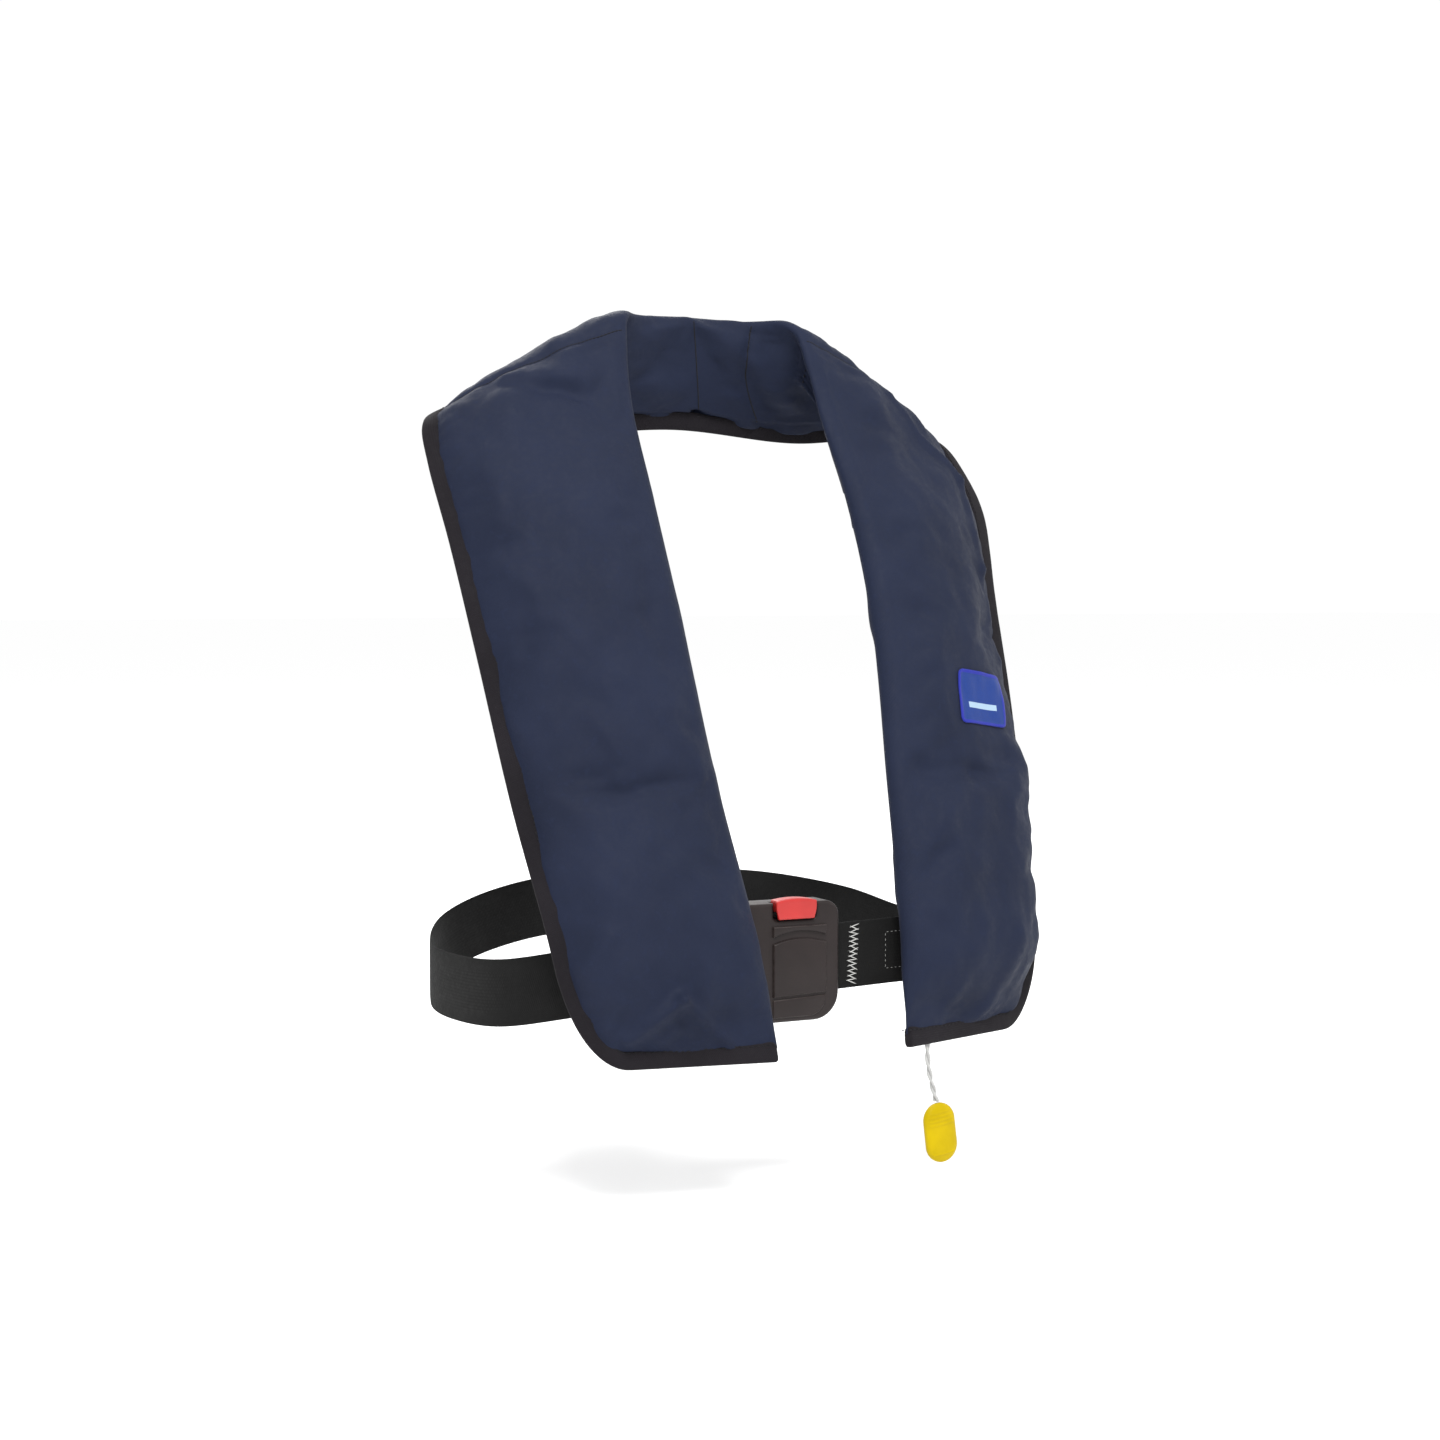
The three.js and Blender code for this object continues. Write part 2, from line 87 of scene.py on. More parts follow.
CORNER_HEIGHT = 72 * MM
WEB_WIDTH = 41.5 * MM
WEB_THICK = 2 * MM
CORD_RADIUS = 0.9 * MM
CORD_TWIST = 19 * MM
LOOP_STAND = 21 * MM
FRONT_LOFT = 20 * MM
BACK_LOFT = 12 * MM
COLLAR_LOFT = 9 * MM
# The left shoulder panel is cut a little wider than the right one, and lies flatter at its rim.
SHOULDER_FLARE, FLARE_PLACE, FLARE_SPREAD = 14 * MM, 405 * MM, 62 * MM
RIM_FLAT, RIM_FLAT_PLACE, RIM_FLAT_SPREAD = 0.95, 375 * MM, 120 * MM
CLASP = Matrix.Translation(Vector((-22, -143.5, -411)) * MM) @ Matrix.Rotation(math.radians(-4), 4, "Z")
HANDLE = Matrix.Translation(Vector((74, -177.2, -522.4)) * MM) @ Matrix.Rotation(math.radians(-7.5), 4, "Y")


# ---------------------------------------------------------------- curves and the yoke's own grid
class Route:
    """A centripetal Catmull-Rom curve through points given in millimetres, measured along its length."""

    def __init__(self, points, divisions=600):
        self.points = [Vector(p) * MM for p in points]
        self.lengths = [0.0]
        last = self.at(0)
        for i in range(1, divisions + 1):
            here = self.at(i / divisions)
            self.lengths.append(self.lengths[-1] + (here - last).length)
            last = here
        self.length = self.lengths[-1]

    def at(self, share):
        points = self.points
        spans = len(points) - 1
        i = min(int(share * spans), spans - 1)
        w = share * spans - i
        b, c = points[i], points[i + 1]
        a = points[i - 1] if i > 0 else 2 * b - c
        d = points[i + 2] if i + 2 < len(points) else 2 * c - b
        ta, tb, tc = (math.sqrt((q - p).length) for p, q in ((a, b), (b, c), (c, d)))
        m0 = ((b - a) / ta - (c - a) / (ta + tb) + (c - b) / tb) * tb
        m1 = ((c - b) / tb - (d - b) / (tb + tc) + (d - c) / tc) * tb
        return (
            b * (2 * w**3 - 3 * w**2 + 1) + c * (3 * w**2 - 2 * w**3)
            + m0 * (w**3 - 2 * w**2 + w) + m1 * (w**3 - w**2)
        )

    def share(self, distance):
        distance = min(max(distance, 0.0), self.length)
        i = min(max(bisect.bisect_right(self.lengths, distance) - 1, 0), len(self.lengths) - 2)
        low, high = self.lengths[i], self.lengths[i + 1]
        return (i + (distance - low) / (high - low)) / (len(self.lengths) - 1)

    def along(self, distance):
        return self.at(self.share(distance))

    def heading(self, distance):
        step = 0.4 * MM
        return (self.along(distance + step) - self.along(distance - step)).normalized()


def mirrored(half):
    return half + [(-x, y, z) for x, y, z in reversed(half[:-1])]


NECK = Route(mirrored(NECK_HALF))
RIM = Route(mirrored(RIM_HALF))
BAND = NECK.length
SEAM = 0.4225 * BAND
_stations = {}


def station(along):
    """Neck-edge point, units across and off the yoke, and its width, at a distance from the left hem."""
    key = round(along, 6)
    if key not in _stations:
        k = NECK.share(along)
        inner, outer = NECK.at(k), RIM.at(k)
        low, high = max(k - 0.004, 0), min(k + 0.004, 1)
        run = (NECK.at(high) - NECK.at(low) + RIM.at(high) - RIM.at(low)).normalized()
        chord = outer - inner
        width = chord.length + SHOULDER_FLARE * bump(along - FLARE_PLACE, FLARE_SPREAD)
        chord.normalize()
        _stations[key] = (inner, chord, chord.cross(run).normalized(), width)
    return _stations[key]


def band(along, across, lift):
    inner, chord, face, width = station(along)
    return inner + chord * (across * width) + face * lift


def mix(a, b, t):
    return a + (b - a) * t


def smooth(x, low, high):
    t = min(max((x - low) / (high - low), 0.0), 1.0)
    return t * t * (3 - 2 * t)


def bump(x, width):
    return math.exp(-((x / width) ** 2))


def from_hem(along):
    return min(along, BAND - along)


def loft(along, full):
    rise = smooth(from_hem(along), TAPE_WIDTH * 0.8, 62 * MM)
    shoulder = smooth(from_hem(along), SEAM * 0.72, SEAM)
    return mix(mix(2.4 * MM, full, rise), COLLAR_LOFT, shoulder)


def cover_reach(along, tape):
    """How far across the yoke the covers go, as a share of its width, where the tape hides this much."""
    width = station(along)[3]
    up = from_hem(along)
    if up >= CORNER_HEIGHT:
        return (width - tape) / width
    rest = (CORNER_HEIGHT - up) / (CORNER_HEIGHT - tape)
    swell = math.sqrt(max(0.0, 1 - rest * rest))
    return (width - CORNER_WIDTH + (CORNER_WIDTH - tape) * swell) / width


# ---------------------------------------------------------------- mesh helpers
def piece(name, bm, finish, ride="jacket", levels=0):
    """A smooth piece in one finish, which rides on the jacket unless another body is named."""
    mesh = bpy.data.meshes.new(name)
    bm.to_mesh(mesh)
    bm.free()
    mesh.shade_smooth()
    thing = bpy.data.objects.new(name, mesh)
    bpy.context.scene.collection.objects.link(thing)
    mesh.materials.append(MATERIALS[finish])
    if levels:
        subsurf = thing.modifiers.new("smooth", "SUBSURF")
        subsurf.levels = levels
        subsurf.render_levels = levels
    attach(thing, ride)
    return thing


def merge(target, other):
    """Moves the faces of one mesh into another."""
    spare = bpy.data.meshes.new("spare")
    other.to_mesh(spare)
    other.free()
    target.from_mesh(spare)
    bpy.data.meshes.remove(spare)


def surface_of(meshes):
    """A search tree over the faces of some meshes, for finding where a ray meets them."""
    bm = bmesh.new()
    for mesh in meshes:
        bm.from_mesh(mesh)
    tree = BVHTree.FromBMesh(bm)
    bm.free()
    return tree


def draped(nu, nv, place, uv_size=(1, 1), closed=False, capped=False, bm=None):
    """A grid carried to its place by place(u, v); closed joins its two long sides into a tube."""
    keep = bm or bmesh.new()
    bm = bmesh.new()
    bm.loops.layers.uv.new("UVMap")
    bmesh.ops.create_grid(bm, x_segments=nu, y_segments=nv, size=0.5, calc_uvs=True)
    layer = bm.loops.layers.uv.active
    for face in bm.faces:
        for loop in face.loops:
            u, v = loop.vert.co.x + 0.5, loop.vert.co.y + 0.5
            loop[layer].uv = (u * uv_size[0], v * uv_size[1])
    for vert in bm.verts:
        vert.co = place(vert.co.x + 0.5, vert.co.y + 0.5)
    if closed:
        bmesh.ops.remove_doubles(bm, verts=bm.verts, dist=2e-6)
    if capped:
        rims = [e for e in bm.edges if e.is_boundary]
        bmesh.ops.holes_fill(bm, edges=rims, sides=0)
        bmesh.ops.recalc_face_normals(bm, faces=bm.faces)
    merge(keep, bm)
    return keep


def squircle(u, half_width, half_thick, power=4.0):
    """A point on a rounded oblong, u from 0 to 1 round it."""
    c, s = math.cos(2 * math.pi * u), math.sin(2 * math.pi * u)
    if abs(c) < 1e-9:
        c = 0.0
    if abs(s) < 1e-9:
        s = 0.0
    return (
        half_width * math.copysign(abs(c) ** (2 / power), c),
        half_thick * math.copysign(abs(s) ** (2 / power), s),
    )


def rounded(bm, edges, offset, segments):
    bmesh.ops.bevel(bm, geom=edges, offset=offset * MM, offset_type="OFFSET", segments=segments,
                    profile=0.5, affect="EDGES", material=-1, clamp_overlap=True)


def plate(outline, y0, y1, edge, segments):
    """A flat-faced block from an outline in the clasp's x and z, with the edges at y0 rounded."""
    bm = bmesh.new()
    verts = [bm.verts.new((x * MM, y1 * MM, z * MM)) for x, z in outline]
    face = bm.faces.new(verts)
    out = bmesh.ops.extrude_face_region(bm, geom=[face])
    moved = [g for g in out["geom"] if isinstance(g, bmesh.types.BMVert)]
    bmesh.ops.translate(bm, verts=moved, vec=((0, (y0 - y1) * MM, 0)))
    bmesh.ops.recalc_face_normals(bm, faces=bm.faces)
    front = [e for e in bm.edges if all(v in moved for v in e.verts)]
    rounded(bm, front, edge, segments)
    return bm


def arc(cx, cz, radius, start, end, steps=8):
    """Points round a centre, from one angle in degrees to another."""
    turns = [math.radians(mix(start, end, i / steps)) for i in range(steps + 1)]
    return [(cx + radius * math.cos(t), cz + radius * math.sin(t)) for t in turns]


def block(size, centre, edge, segments):
    """A box in the clasp's x, y and z, with all its edges rounded."""
    bm = bmesh.new()
    bmesh.ops.create_cube(bm, size=1)
    bmesh.ops.scale(bm, verts=bm.verts, vec=Vector(size) * MM)
    bmesh.ops.translate(bm, verts=bm.verts, vec=Vector(centre) * MM)
    rounded(bm, list(bm.edges), edge, segments)
    return bm


def thread_row(name, spots, finish, size=(1.3, 0.32, 0.22)):
    """Short sewn stitches; each spot is (centre, along, out), and size is half a stitch in millimetres."""
    bm = bmesh.new()
    grow = Matrix.Diagonal((*(Vector(size) * MM), 1))
    upright = Matrix.Rotation(math.pi / 2, 4, "Y")
    for centre, run, out in spots:
        side = run.cross(out).normalized()
        out = side.cross(run).normalized()
        turn = Matrix((run, side, out)).transposed().to_4x4()
        bmesh.ops.create_uvsphere(bm, u_segments=6, v_segments=4, radius=1,
                                  matrix=Matrix.Translation(centre) @ turn @ grow @ upright)
    piece(name, bm, finish)


# ---------------------------------------------------------------- shader groups and materials
def socket_group(name, inputs, outputs):
    """An empty shader group with named sockets, and its two end nodes."""
    group = bpy.data.node_groups.new(name, "ShaderNodeTree")
    for label, kind, default in inputs:
        made = group.interface.new_socket(label, in_out="INPUT", socket_type=kind)
        if default is not None:
            made.default_value = default
    for label, kind in outputs:
        group.interface.new_socket(label, in_out="OUTPUT", socket_type=kind)
    return group, group.nodes.new("NodeGroupInput"), group.nodes.new("NodeGroupOutput")


def maths(tree, operation, a, b=None, clamp=False):
    node = tree.nodes.new("ShaderNodeMath")
    node.operation = operation
    node.use_clamp = clamp
    for i, value in enumerate((a, b)):
        if value is None:
            continue
        if isinstance(value, (int, float)):
            node.inputs[i].default_value = value
        else:
            tree.links.new(value, node.inputs[i])
    return node.outputs[0]


def weave_group():
    """Crossed threads on a UV map in metres: a height, and a mask of the gaps between threads for their
    painted shade.
    """
    group, inn, out = socket_group(
        "crossed_threads",
        [("UV", "NodeSocketVector", None), ("Across pitch", "NodeSocketFloat", 0.0008),
         ("Along pitch", "NodeSocketFloat", 0.0008)],
        [("Height", "NodeSocketFloat"), ("Gap shade", "NodeSocketFloat")])
    split = group.nodes.new("ShaderNodeSeparateXYZ")
    group.links.new(inn.outputs["UV"], split.inputs[0])
    waves = []
    for axis, pitch in (("X", "Across pitch"), ("Y", "Along pitch")):
        turns = maths(group, "DIVIDE", split.outputs[axis], inn.outputs[pitch])
        waves.append(maths(group, "SINE", maths(group, "MULTIPLY", turns, 2 * math.pi)))
    product = maths(group, "MULTIPLY", waves[0], waves[1])
    height = maths(group, "MULTIPLY_ADD", product, 0.5)
    height.node.inputs[2].default_value = 0.5
    group.links.new(height, out.inputs["Height"])
    # The gaps between threads, which the cloth darkens as painted shade.
    shaded_gaps = maths(group, "SUBTRACT", 1.0, maths(group, "ABSOLUTE", product), clamp=True)
    group.links.new(maths(group, "POWER", shaded_gaps, 4.0), out.inputs["Gap shade"])
    return group


def mottle_group():
    """Broad and fine cloudiness, which the finishes read as drift of colour and sheen."""
    group, inn, out = socket_group(
        "mottle",
        [("Vector", "NodeSocketVector", None), ("Scale", "NodeSocketFloat", 30.0)],
        [("Broad", "NodeSocketFloat"), ("Fine", "NodeSocketFloat")])
    for label, factor, detail in (("Broad", 1.0, 3.0), ("Fine", 14.0, 5.0)):
        cloud = group.nodes.new("ShaderNodeTexNoise")
        cloud.inputs["Detail"].default_value = detail
        group.links.new(inn.outputs["Vector"], cloud.inputs["Vector"])
        scale = maths(group, "MULTIPLY", inn.outputs["Scale"], factor)
        group.links.new(scale, cloud.inputs["Scale"])
        group.links.new(cloud.outputs["Fac"], out.inputs[label])
    return group


def wear_group():
    """A broken mask of the sharp edges, where a moulding or a metal part gets a painted highlight."""
    group, inn, out = socket_group(
        "edge_wear",
        [("Vector", "NodeSocketVector", None), ("Low", "NodeSocketFloat", 0.52),
         ("High", "NodeSocketFloat", 0.62)],
        [("Edge highlight", "NodeSocketFloat")])
    geometry = group.nodes.new("ShaderNodeNewGeometry")
    cloud = group.nodes.new("ShaderNodeTexNoise")
    cloud.inputs["Scale"].default_value = 220
    group.links.new(inn.outputs["Vector"], cloud.inputs["Vector"])
    ramp = group.nodes.new("ShaderNodeMapRange")
    group.links.new(geometry.outputs["Pointiness"], ramp.inputs["Value"])
    group.links.new(inn.outputs["Low"], ramp.inputs["From Min"])
    group.links.new(inn.outputs["High"], ramp.inputs["From Max"])
    # Sharp edges, in broken patches: the mask of the painted edge highlight.
    highlit_edge = maths(group, "MULTIPLY", ramp.outputs["Result"], cloud.outputs["Fac"], clamp=True)
    group.links.new(highlit_edge, out.inputs["Edge highlight"])
    return group


GROUPS = {}
MATERIALS = {}


def shader(name, base, roughness, **settings):
    """A material with one Principled surface; settings are its sockets, with _ for a space."""
    made = bpy.data.materials.new(name)
    made.use_nodes = True
    tree = made.node_tree
    tree.nodes.clear()
    surface = tree.nodes.new("ShaderNodeBsdfPrincipled")
    end = tree.nodes.new("ShaderNodeOutputMaterial")
    tree.links.new(surface.outputs[0], end.inputs["Surface"])
    surface.inputs["Base Color"].default_value = (*base, 1)
    surface.inputs["Roughness"].default_value = roughness
    for label, value in settings.items():
        surface.inputs[label.replace("_", " ")].default_value = value
    return made, tree, surface


def placed(tree, key, vector, **values):
    """One of the shader groups in a material, reading a vector and with its own values."""
    node = tree.nodes.new("ShaderNodeGroup")
    node.node_tree = GROUPS[key]
    tree.links.new(vector, node.inputs[0])
    for label, value in values.items():
        node.inputs[label.replace("_", " ")].default_value = value
    return node


def blended(tree, share, first, second, low=0.0, high=1.0):
    """Base colour between two colours, where share is a mask read from low to high."""
    ramp = tree.nodes.new("ShaderNodeMapRange")
    ramp.inputs["From Min"].default_value = low
    ramp.inputs["From Max"].default_value = high
    tree.links.new(share, ramp.inputs["Value"])
    node = tree.nodes.new("ShaderNodeMix")
    node.data_type = "RGBA"
    tree.links.new(ramp.outputs[0], node.inputs["Factor"])
    for label, colour in (("A", first), ("B", second)):
        target = next(s for s in node.inputs if s.name == label and s.type == "RGBA")
        if isinstance(colour, tuple):
            target.default_value = (*colour, 1)
        else:
            tree.links.new(colour, target)
    return next(s for s in node.outputs if s.type == "RGBA")


def ranged(tree, value, low, high, to_low, to_high):
    """A value carried from one range to another."""
    node = tree.nodes.new("ShaderNodeMapRange")
    tree.links.new(value, node.inputs["Value"])
    for label, number in (("From Min", low), ("From Max", high), ("To Min", to_low), ("To Max", to_high)):
        node.inputs[label].default_value = number
    return node.outputs[0]


def bumped(tree, surface, height, distance, strength=1.0, under=None):
    node = tree.nodes.new("ShaderNodeBump")
    node.inputs["Distance"].default_value = distance
    node.inputs["Strength"].default_value = strength
    tree.links.new(height, node.inputs["Height"])
    if under:
        tree.links.new(under, node.inputs["Normal"])
    tree.links.new(node.outputs[0], surface.inputs["Normal"])
    return node.outputs[0]


def scaled_colour(colour, factor):
    return tuple(min(1.0, c * factor) for c in colour)


def cloth_material(name, colour, pitch, roughness, sheen, drift, depth=0.00012):
    """Woven threads at a pitch in metres and depth, on a colour that drifts by a share of itself, with
    painted shade in the gaps between threads.
    """
    made, tree, surface = shader(name, colour, roughness, Sheen_Weight=sheen, Sheen_Roughness=0.45,
                                 Specular_IOR_Level=0.08)
    coords = tree.nodes.new("ShaderNodeTexCoord")
    threads = placed(tree, "weave", coords.outputs["UV"], Across_pitch=pitch, Along_pitch=pitch)
    clouds = placed(tree, "mottle", coords.outputs["Object"], Scale=18.0)
    broad = blended(tree, clouds.outputs["Broad"], scaled_colour(colour, 1 - drift),
                    scaled_colour(colour, 1 + drift), 0.3, 0.7)
    fibres = blended(tree, clouds.outputs["Fine"], broad, scaled_colour(colour, 1.35), 0.55, 0.95)
    # Darker in the gaps between threads: painted shade.
    shaded_gaps = blended(tree, threads.outputs["Gap shade"], fibres, scaled_colour(colour, 0.62), 0.2, 1.6)
    tree.links.new(shaded_gaps, surface.inputs["Base Color"])
    tree.links.new(ranged(tree, clouds.outputs["Fine"], 0.3, 0.7, roughness - 0.08, roughness + 0.1),
                   surface.inputs["Roughness"])
    grain = bumped(tree, surface, clouds.outputs["Fine"], 0.0002, 0.35)
    bumped(tree, surface, threads.outputs["Height"], depth, 0.8, grain)
    return made


def plastic_material(name, colour, roughness, highlit_edge=None, grain=0.00006, coat=0.0, specular=0.3):
    """Moulded plastic with a fine grain, paler on its sharp edges, a painted highlight."""
    made, tree, surface = shader(name, colour, roughness, Coat_Weight=coat, Coat_Roughness=0.25,
                                 Specular_IOR_Level=specular)
    coords = tree.nodes.new("ShaderNodeTexCoord")
    clouds = placed(tree, "mottle", coords.outputs["Object"], Scale=60.0)
    wear = placed(tree, "wear", coords.outputs["Object"])
    drift = blended(tree, clouds.outputs["Broad"], scaled_colour(colour, 0.88),
                    scaled_colour(colour, 1.1), 0.3, 0.7)
    # Sharp edges take the paler colour: a painted highlight.
    highlighted = blended(tree, wear.outputs["Edge highlight"], drift, highlit_edge or scaled_colour(colour, 1.7), 0.15, 1.2)
    tree.links.new(highlighted, surface.inputs["Base Color"])
    tree.links.new(ranged(tree, clouds.outputs["Fine"], 0.3, 0.7, roughness - 0.07, roughness + 0.09),
                   surface.inputs["Roughness"])
    bumped(tree, surface, clouds.outputs["Fine"], grain, 0.5)
    return made


def metal_material(name, colour, roughness):
    """Metal, a little darker in patches and brighter on its sharp edges, a painted highlight."""
    made, tree, surface = shader(name, colour, roughness, Metallic=1.0)
    coords = tree.nodes.new("ShaderNodeTexCoord")
    clouds = placed(tree, "mottle", coords.outputs["Object"], Scale=90.0)
    wear = placed(tree, "wear", coords.outputs["Object"])
    drift = blended(tree, clouds.outputs["Broad"], scaled_colour(colour, 0.8), colour, 0.3, 0.7)
    # Sharp edges turn brighter: a painted highlight.
    tree.links.new(blended(tree, wear.outputs["Edge highlight"], drift, scaled_colour(colour, 1.25), 0.1, 1.0),
                   surface.inputs["Base Color"])
    tree.links.new(ranged(tree, clouds.outputs["Fine"], 0.3, 0.7, roughness - 0.1, roughness + 0.15),
                   surface.inputs["Roughness"])
    bumped(tree, surface, clouds.outputs["Fine"], 0.00004, 0.4)
    return made


def patch_material(colour, border, bar):
    """Embroidered cloth: a merrowed border and one plain light bar, on a UV map that runs 0 to 1."""
    made, tree, surface = shader("patch_embroidery", colour, 0.6, Sheen_Weight=0.05, Specular_IOR_Level=0.15)
    coords = tree.nodes.new("ShaderNodeTexCoord")
    split = tree.nodes.new("ShaderNodeSeparateXYZ")
    tree.links.new(coords.outputs["UV"], split.inputs[0])
    across, along = split.outputs["X"], split.outputs["Y"]

    def gap(value, centre):
        return maths(tree, "ABSOLUTE", maths(tree, "SUBTRACT", value, centre))

    edge = maths(tree, "MAXIMUM", maths(tree, "GREATER_THAN", gap(across, 0.5), 0.45),
                 maths(tree, "GREATER_THAN", gap(along, 0.5), 0.44))
    in_bar = maths(tree, "MULTIPLY", maths(tree, "LESS_THAN", gap(along, 0.36), 0.055),
                   maths(tree, "LESS_THAN", gap(across, 0.5), 0.3))
    clouds = placed(tree, "mottle", coords.outputs["Object"], Scale=160.0)
    base = blended(tree, clouds.outputs["Fine"], scaled_colour(colour, 0.8),
                   scaled_colour(colour, 1.2), 0.3, 0.7)
    barred = blended(tree, in_bar, base, bar)
    tree.links.new(blended(tree, edge, barred, border), surface.inputs["Base Color"])
    threads = placed(tree, "weave", coords.outputs["UV"], Across_pitch=0.03, Along_pitch=0.025)
    bumped(tree, surface, threads.outputs["Height"], 0.00015, 0.7)
    tree.links.new(ranged(tree, clouds.outputs["Fine"], 0.3, 0.7, 0.5, 0.7), surface.inputs["Roughness"])
    return made


def make_materials(look):
    GROUPS.update(weave=weave_group(), mottle=mottle_group(), wear=wear_group())
    MATERIALS.update(
        navy_nylon=cloth_material("navy_nylon", tuple(look.cloth), 0.0009, 0.6, 0.02, 0.12),
        black_binding=cloth_material("black_binding", tuple(look.tape), 0.0011, 0.8, 0.03, 0.2, 0.0002),
        black_webbing=cloth_material("black_webbing", tuple(look.webbing), 0.0014, 0.82, 0.03, 0.25, 0.0002),
        closure_tape=cloth_material("closure_tape", (0.02, 0.02, 0.02), 0.001, 0.9, 0.3, 0.3, 0.0004),
        blue_patch=patch_material((0.005, 0.026, 0.15), (0.011, 0.018, 0.22), (0.26, 0.36, 0.46)),
        bladder_yellow=cloth_material("bladder_yellow", (0.8, 0.5, 0.02), 0.0006, 0.5, 0.1, 0.1),
        # A plastic's fourth colour, or else 1.7 times its own, is its painted edge highlight.
        black_plastic=plastic_material("black_plastic", (0.02, 0.02, 0.02), 0.45),
        black_rubber=plastic_material("black_rubber", (0.018, 0.018, 0.018), 0.7, grain=0.0001),
        yellow_plastic=plastic_material("yellow_plastic", tuple(look.handle), 0.5, (0.56, 0.42, 0.006),
                                        specular=0.08),
        steel=metal_material("steel", (0.6, 0.6, 0.6), 0.3),
        zinc_steel=metal_material("zinc_steel", (0.52, 0.52, 0.5), 0.38),
        red_plastic=plastic_material("red_plastic", tuple(look.button), 0.35, (0.6, 0.1, 0.08), coat=0.1),
        white_cord=cloth_material("white_cord", (0.48, 0.48, 0.47), 0.0012, 0.8, 0.1, 0.06, 0.0002),
        buckle_plastic=plastic_material("buckle_plastic", tuple(look.buckle), 0.4, (0.06, 0.048, 0.045),
                                        specular=0.2),
        white_thread=cloth_material("white_thread", (0.6, 0.6, 0.58), 0.0006, 0.7, 0.1, 0.05),
        dark_thread=cloth_material("dark_thread", (0.012, 0.012, 0.014), 0.0006, 0.8, 0.05, 0.1),
    )


# ---------------------------------------------------------------- padded covers
COVER_LOW = 8.5 * MM  # where the covers begin, up from either hem
COVER_HIGH = BAND - COVER_LOW
COVER_RUN = COVER_HIGH - COVER_LOW
COVER_UV_WIDTH = 0.13
FOLD_STRENGTH = 1.6
# Soft folds: (along, across) of both ends in mm and share, height in mm, width in mm.
# Along is measured up from the nearer hem, and on the collar from the centre back.
LEFT_FOLDS = [
    ((75, 0.93), (170, 0.95), 4.5, 34), ((170, 0.95), (225, 0.93), 2.0, 34),
    ((462, 0.5), (400, 0.74), 1.5, 4.5), ((400, 0.74), (330, 0.84), 1.5, 4.5),
    ((330, 0.84), (262, 0.9), 1.2, 4.5), ((118, 0.06), (165, 0.36), 2.2, 9),
    ((168, 0.1), (195, 0.34), -1.6, 10), ((70, 0.05), (110, 0.42), 1.5, 12),
    ((30, 0.3), (70, 0.44), 1.2, 8), ((24, 0.62), (62, 0.7), 1.3, 9),
    ((235, 0.08), (285, 0.5), 1.4, 22), ((380, 0.3), (440, 0.62), -1.4, 16),
    ((410, 0.12), (452, 0.34), 1.3, 12), ((300, 0.3), (345, 0.72), -1.2, 20),
]
RIGHT_FOLDS = [
    ((19, 0.84), (43, 0.5), 3.8, 4.2), ((43, 0.5), (14, 0.3), 3.0, 4.2), ((16, 0.7), (26, 0.55), 1.2, 4.0),
    ((22, 0.56), (30, 0.5), -1.6, 9), ((52, 0.6), (56, 0.44), -1.0, 9), ((90, 0.92), (150, 0.82), -1.3, 12),
    ((120, 0.7), (215, 0.9), 1.4, 20), ((26, 0.93), (44, 0.8), 1.8, 4.0), ((62, 0.95), (84, 0.78), 1.4, 5.0),
    ((200, 0.2), (290, 0.55), 1.2, 26), ((330, 0.7), (400, 0.4), -1.3, 18),
    ((360, 0.85), (430, 0.62), 1.4, 14), ((440, 0.3), (468, 0.62), -2.0, 7),
    ((452, 0.3), (474, 0.62), 1.4, 6), ((60, 0.1), (110, 0.22), 1.2, 10),
]
COLLAR_FOLDS = [
    ((-70, 0.1), (-52, 0.8), -1.6, 8), ((-64, 0.95), (-42, 0.55), 1.8, 6), ((-12, 0.2), (-6, 0.9), -1.2, 7),
    ((6, 0.95), (16, 0.62), 1.5, 6), ((30, 0.95), (44, 0.66), -1.4, 7), ((58, 0.2), (44, 0.6), 1.4, 9),
    ((-30, 0.95), (-24, 0.7), 1.2, 5), ((66, 0.95), (60, 0.7), 1.2, 6),
]


def fold_lift(folds, along_mm, across, width_mm):
    """How far a set of folds lifts the cloth at a place, each a smooth ridge round its line."""
    total = 0.0
    for (a0, c0), (a1, c1), height, spread in folds:
        px, py = along_mm - a0, (across - c0) * width_mm
        dx, dy = a1 - a0, (c1 - c0) * width_mm
        t = min(max((px * dx + py * dy) / (dx * dx + dy * dy), 0.0), 1.0)
        gap = math.hypot(px - t * dx, py - t * dy)
        total += height * bump(gap, spread)
    return FOLD_STRENGTH * total * MM


def cover_point(along, across, side):
    """Where the padded cover lies; side is 1 for the outer face and -1 for the lining."""
    reach = cover_reach(along, TAPE_WIDTH - COVER_TUCK)
    inner, chord, face, width = station(along)
    power = mix(0.4, 0.55, smooth(across, 0.4, 0.9))
    power += RIM_FLAT * bump(along - RIM_FLAT_PLACE, RIM_FLAT_SPREAD) * smooth(across, 0.35, 0.8)
    crown = max(4 * across * (1 - across), 0.0) ** power
    lift = loft(along, FRONT_LOFT if side > 0 else BACK_LOFT) * crown
    tucked = (1 - across) * reach * width
    lift = mix(min(lift, 1.1 * MM), lift, smooth(tucked, 3 * MM, 11 * MM))
    return inner + chord * (across * reach * width) + face * (side * lift)


